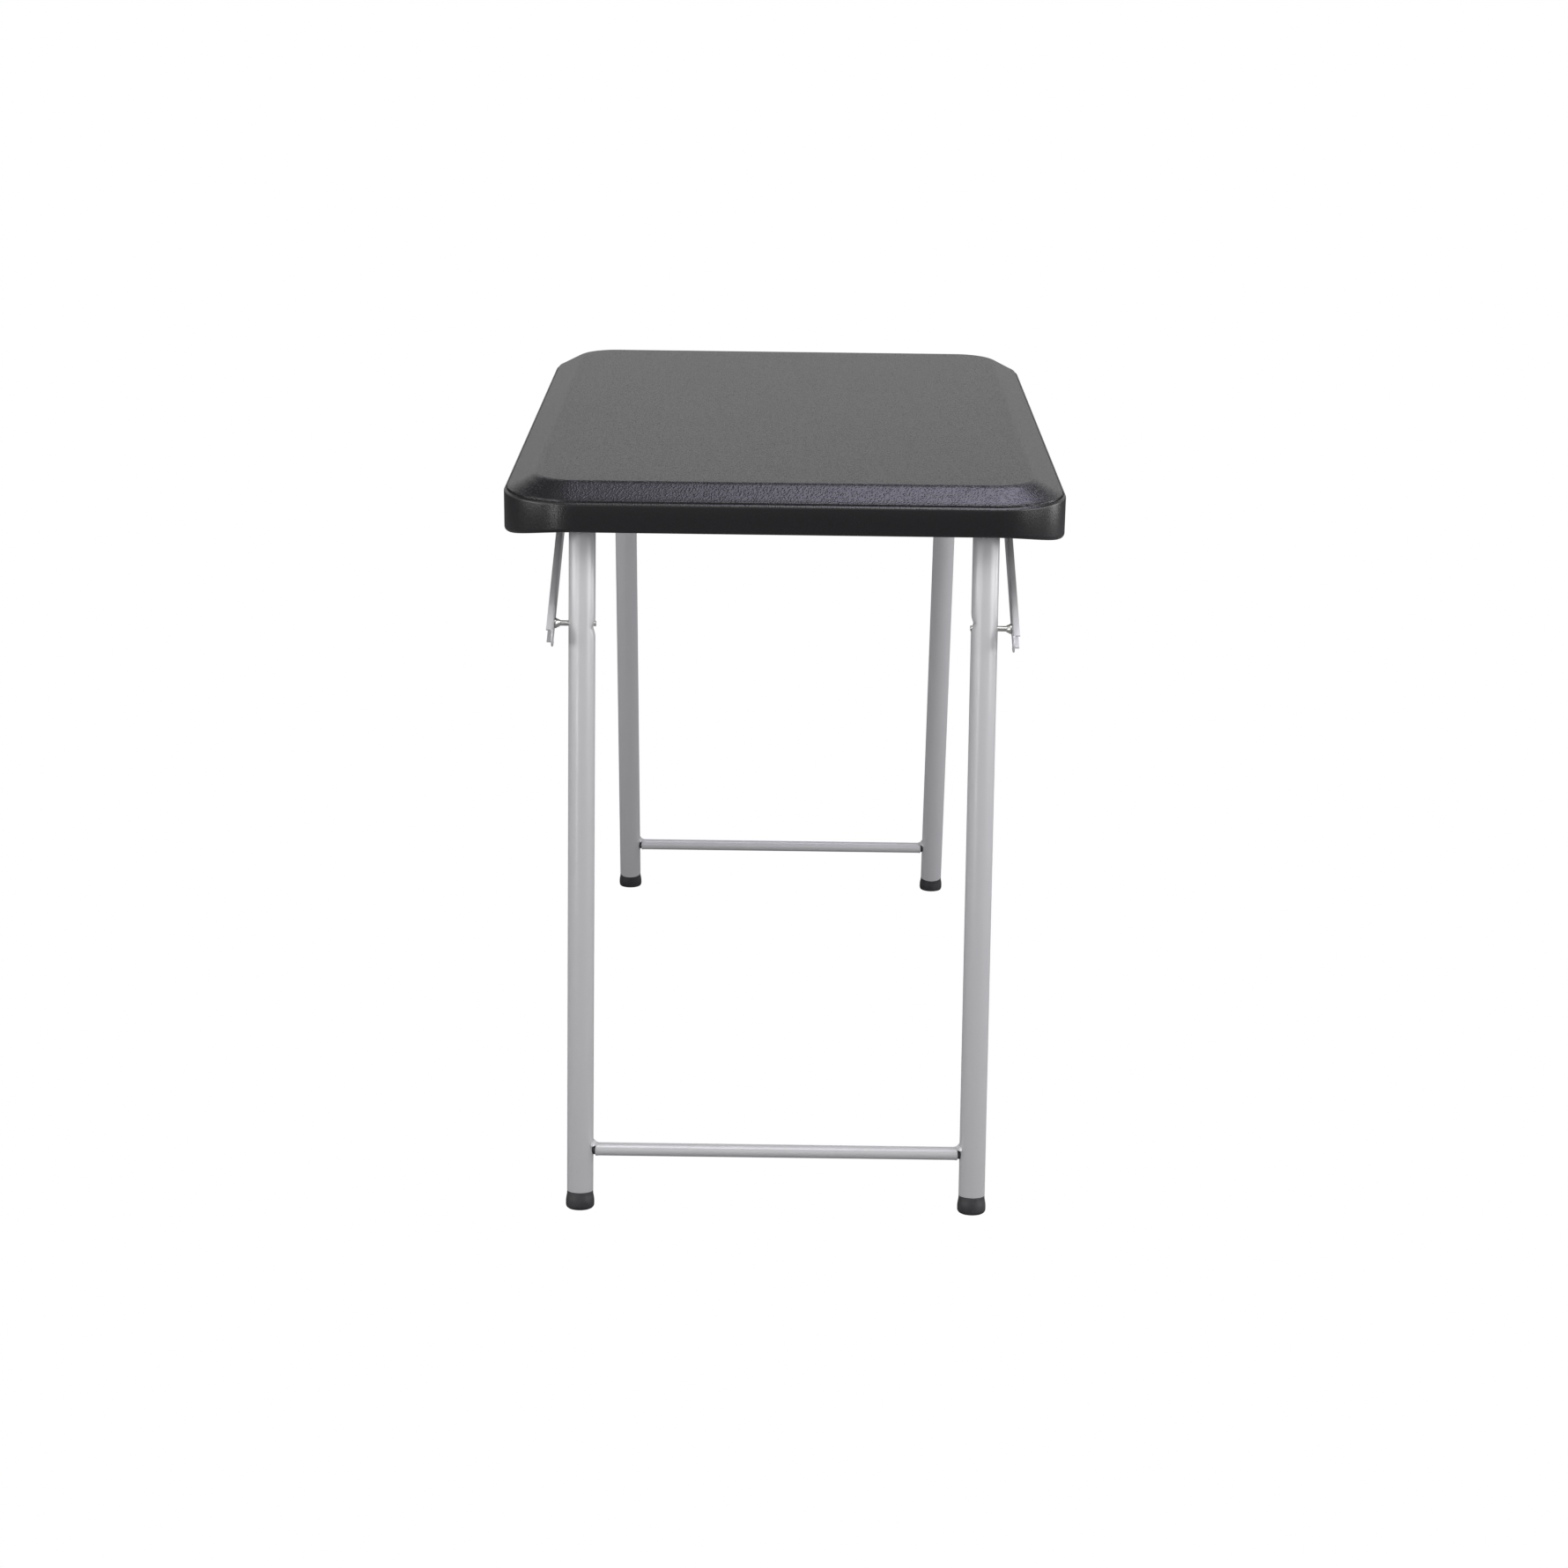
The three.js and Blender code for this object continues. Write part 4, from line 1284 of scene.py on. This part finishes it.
@dataclass
class Underside:
    """What is screwed under the top: pivot brackets, slide rails and their screws.

    Args:
        rail_sheet: the slide rail's thickness.
        bracket_sheet: the pivot bracket's thickness.
        slot: the width of the slide rail's slot.
        ear_gap: the distance between a bracket's ears.
    """

    rail_sheet: float = 1.5 * MM
    bracket_sheet: float = 2 * MM
    slot: float = 8.4 * MM
    ear_gap: float = 10 * MM

    def build(self, shop: PaintShop) -> None:
        """Makes every piece under the top and paints it."""
        self._rails(shop)
        for end in (FRONT, REAR):
            self._brackets(shop, end)
        self._screws(shop)

    def _rails(self, shop: PaintShop) -> None:
        """The C-section rails, slotted towards the braces, with rounded screw tabs."""
        low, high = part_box("right_slide_rail")
        half_sheet = self.rail_sheet / 2
        inner, outer = low.x + half_sheet, high.x - half_sheet
        floor, roof = low.z + half_sheet, high.z - half_sheet
        middle_height = (low.z + high.z) / 2
        section = [
            (inner, middle_height - self.slot / 2), (inner, floor), (outer, floor), (outer, roof),
            (inner, roof), (inner, middle_height + self.slot / 2),
        ]
        tab = 16 * MM
        sheet = FoldedSheet(
            section, (low.y + tab, high.y - tab), self.rail_sheet, 1.5 * MM,
            tabs=((3, low.y, 5 * MM), (3, high.y, 5 * MM)),
        )
        shop.finish_pair(sheet.build(), RIGHT, "SIDE_guide_rail", "top", Slot.ZINC, "SIDE_slide_rail")

    def _brackets(self, shop: PaintShop, end: End) -> None:
        """The hat-section brackets that the hinge rod turns in."""
        low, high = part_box(f"{end.name}_right_pivot_bracket")
        hinge = Vector(end.joint("fold")["pos_m"])
        centre = (low.x + high.x) / 2
        half_sheet = self.bracket_sheet / 2
        ear = self.ear_gap / 2 + half_sheet
        roof, floor = high.z - half_sheet, low.z + half_sheet
        edge = (high.x - low.x) / 2
        half = [(ear, floor), (ear, roof), (edge, roof)]
        section = [(centre - x, z) for x, z in reversed(half)] + [(centre + x, z) for x, z in half]
        right = FoldedSheet(section, (low.y, high.y), self.bracket_sheet, 2.2 * MM).build()
        drill = turn([(5.3 * MM, centre - edge), (5.3 * MM, centre + edge)], 32)
        place(drill, across(RIGHT, Vector((0, hinge.y, hinge.z))))
        cut_away(right, drill)
        label = f"{end.name}_SIDE"
        names = f"{label}_hinge_bracket", "top", Slot.ZINC, f"{label}_pivot_bracket"
        shop.finish_pair(tidy(right), RIGHT, *names)

    def _screws(self, shop: PaintShop) -> None:
        """Pan-head screws with cross recesses, copied to every hole."""
        pattern = self._screw()
        for index, name in enumerate(sorted(n for n in frame["nodes"] if "_screw_" in n)):
            low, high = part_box(name)
            centre = (low + high) / 2
            spin = Matrix.Rotation(math.radians(37 * index), 4, "Z")
            screw = copy_of(pattern, Matrix.Translation((centre.x, centre.y, low.z)) @ spin)
            shop.finish(screw, name.replace("_screw_", "_pan_screw_"), "top", Slot.ZINC, [name])
        bpy.data.objects.remove(pattern)

    def _screw(self) -> bpy.types.Object:
        """A pan-head screw, its head down, with its lowest point at the origin."""
        head, shank = 4 * MM, 2 * MM
        screw = turn([
            (0.8 * MM, 0), (2.4 * MM, 0.1 * MM), (3.3 * MM, 0.5 * MM), (3.85 * MM, 1.2 * MM),
            (head, 1.9 * MM), (head, 2.4 * MM), (head - 0.2 * MM, 2.5 * MM),
            (shank, 2.5 * MM), (shank, 14 * MM), (0.8 * MM, 15.5 * MM),
        ], 28)
        for turned in (0, 90):
            clear_bench()
            bpy.ops.mesh.primitive_cube_add(size=1, scale=(3.8 * MM, 0.8 * MM, 2.6 * MM))
            blade = place(bpy.context.object, Matrix.Rotation(math.radians(turned), 4, "Z"))
            cut_away(screw, blade)
        return tidy(screw)


# ---- Studio ----------------------------------------------------------------------------------


@dataclass(frozen=True)
class Lamp:
    """A rectangular softbox aimed at the table.

    Args:
        name: its name.
        azimuth: where it stands, in degrees from the front towards the right.
        elevation: how high it stands, in degrees.
        distance: from the table's middle, in metres.
        size: its width and height in metres.
        power: its power in watts.
        colour: the colour of its light.
    """

    name: str
    azimuth: float
    elevation: float
    distance: float
    size: Point
    power: float
    colour: tuple[float, float, float] = (1.0, 1.0, 1.0)

    def hang(self, target: Vector) -> None:
        """Puts the lamp in the scene, aimed at a point."""
        data = bpy.data.lights.new(self.name, "AREA")
        data.shape = "RECTANGLE"
        data.size, data.size_y = self.size
        data.energy = self.power
        data.color = self.colour
        lamp = bpy.data.objects.new(self.name, data)
        around, up = math.radians(self.azimuth), math.radians(self.elevation)
        out = Vector((math.sin(around) * math.cos(up), -math.cos(around) * math.cos(up), math.sin(up)))
        lamp.location = target + out * self.distance
        lamp.rotation_euler = (-out).to_track_quat("-Z", "Y").to_euler()
        bpy.context.scene.collection.objects.link(lamp)


def seen_apart(
    sheet: Sheet, others: bpy.types.NodeSocket, camera: bpy.types.NodeSocket
) -> bpy.types.NodeSocket:
    """One shader for the camera's rays and another for all others.

    Args:
        sheet: the node tree's sheet.
        others: the shader that lights and reflections meet.
        camera: the shader that the camera sees.

    Returns:
        The mixed shader's socket.
    """
    path = sheet.add("ShaderNodeLightPath")
    pick = sheet.add("ShaderNodeMixShader")
    for source, target in zip((path.outputs["Is Camera Ray"], others, camera), pick.inputs):
        sheet.join(source, target)
    return pick.outputs[0]


@dataclass
class Studio:
    """A white sweep, soft lights and the camera.

    Args:
        lens: the camera's focal length in millimetres.
        eye: where the camera stands.
        tilt: how far it looks down, in degrees.
        roll: how far it is turned about its own axis, in degrees.
    """

    lens: float = 69.25
    eye: tuple[float, float, float] = (2.7 * MM, -3092 * MM, 1262 * MM)
    tilt: float = 17.62
    roll: float = 0.75

    def lamps(self) -> list[Lamp]:
        """The softboxes."""
        return [
            Lamp("strip_left", -34, 6, 2.6, (0.09, 1.7), 9),
            Lamp("softbox_left", -55, 40, 3.0, (1.6, 1.5), 11),
            Lamp("softbox_right", 50, 40, 2.9, (1.4, 1.5), 19),
            Lamp("softbox_front", 18, 56, 2.8, (1.5, 1.1), 28),
            Lamp("softbox_low_left", -66, 9, 3.0, (1.9, 0.9), 20),
            Lamp("softbox_low_right", 64, 9, 3.0, (2.1, 0.9), 25),
            Lamp("softbox_side", 102, 4, 3.0, (1.0, 1.0), 15),
            Lamp("softbox_above", 112, 73, 2.4, (1.5, 1.5), 33, (0.83, 0.80, 1.0)),
        ]

    def build(self) -> None:
        """Sets up the studio."""
        bpy.context.scene.view_settings.view_transform = "Standard"
        self._camera()
        self._sweep()
        self._surroundings()
        for lamp in self.lamps():
            lamp.hang(Vector((0, 0, 0.45)))

    def _camera(self) -> None:
        """The camera, in front of one short end and a little above the top."""
        data = bpy.data.cameras.new("camera")
        data.lens = self.lens
        data.clip_end = 50
        camera = bpy.data.objects.new("camera", data)
        down = Matrix.Rotation(math.radians(90 - self.tilt), 4, "X")
        turned = Matrix.Rotation(math.radians(self.roll), 4, "Z")
        camera.matrix_world = Matrix.Translation(self.eye) @ down @ turned
        bpy.context.scene.collection.objects.link(camera)
        bpy.context.scene.camera = camera

    def _sweep(self) -> None:
        """The floor: white to look at, mid grey to the light that it gives back."""
        clear_bench()
        bpy.ops.mesh.primitive_plane_add(size=24, location=(0, 0, -0.4 * MM))
        floor = bpy.context.object
        floor.name = "floor"
        material = bpy.data.materials.new("white_floor")
        material.use_nodes = True
        sheet = Sheet(material.node_tree)
        material.node_tree.nodes.clear()
        seen = sheet.add("ShaderNodeEmission")
        lit = sheet.add("ShaderNodeBsdfDiffuse")
        lit.inputs["Color"].default_value = (0.24, 0.24, 0.24, 1)
        under = sheet.add("ShaderNodeMixShader")
        clear = sheet.add("ShaderNodeBsdfTransparent")
        back = sheet.add("ShaderNodeNewGeometry")
        out = sheet.add("ShaderNodeOutputMaterial")
        above = seen_apart(sheet, lit.outputs[0], seen.outputs[0])
        sheet.join(back.outputs["Backfacing"], under.inputs[0])
        sheet.join(above, under.inputs[1])
        sheet.join(clear.outputs[0], under.inputs[2])
        sheet.join(under.outputs[0], out.inputs["Surface"])
        floor.data.materials.append(material)

    def _surroundings(self) -> None:
        """The room: white to look at; in reflections a bright wall, a dark band and a soft ceiling."""
        world = bpy.data.worlds.new("studio")
        bpy.context.scene.world = world
        world.use_nodes = True
        sheet = Sheet(world.node_tree)
        world.node_tree.nodes.clear()
        where = sheet.add("ShaderNodeTexCoord").outputs["Generated"]
        parts = sheet.add("ShaderNodeSeparateXYZ")
        sheet.join(where, parts.inputs[0])
        ramp = sheet.add("ShaderNodeValToRGB")
        sheet.join(parts.outputs["Z"], ramp.inputs[0])
        stops = ((0.0, 0.42), (0.26, 0.86), (0.34, 0.86), (0.48, 0.08), (0.82, 0.08), (0.95, 0.45))
        ramp.color_ramp.elements.remove(ramp.color_ramp.elements[1])
        ramp.color_ramp.elements[0].color = (stops[0][1],) * 3 + (1,)
        for position, value in stops[1:]:
            ramp.color_ramp.elements.new(position).color = (value,) * 3 + (1,)
        room = sheet.add("ShaderNodeBackground")
        sheet.join(ramp.outputs["Color"], room.inputs["Color"])
        white = sheet.add("ShaderNodeBackground")
        white.inputs["Color"].default_value = (1, 1, 1, 1)
        out = sheet.add("ShaderNodeOutputWorld")
        sheet.join(seen_apart(sheet, room.outputs[0], white.outputs[0]), out.inputs["Surface"])


def main() -> None:
    """Builds the studio and the table; each finished piece logs its face count."""
    logging.basicConfig(level=logging.INFO, format="%(message)s")
    Studio().build()
    shop = PaintShop()
    MouldedTop().build(shop)
    for end in (FRONT, REAR):
        LegFrame(end).build(shop)
        Brace(end).build(shop)
    Underside().build(shop)
    clear_bench()


if __name__ == "__main__":
    main()
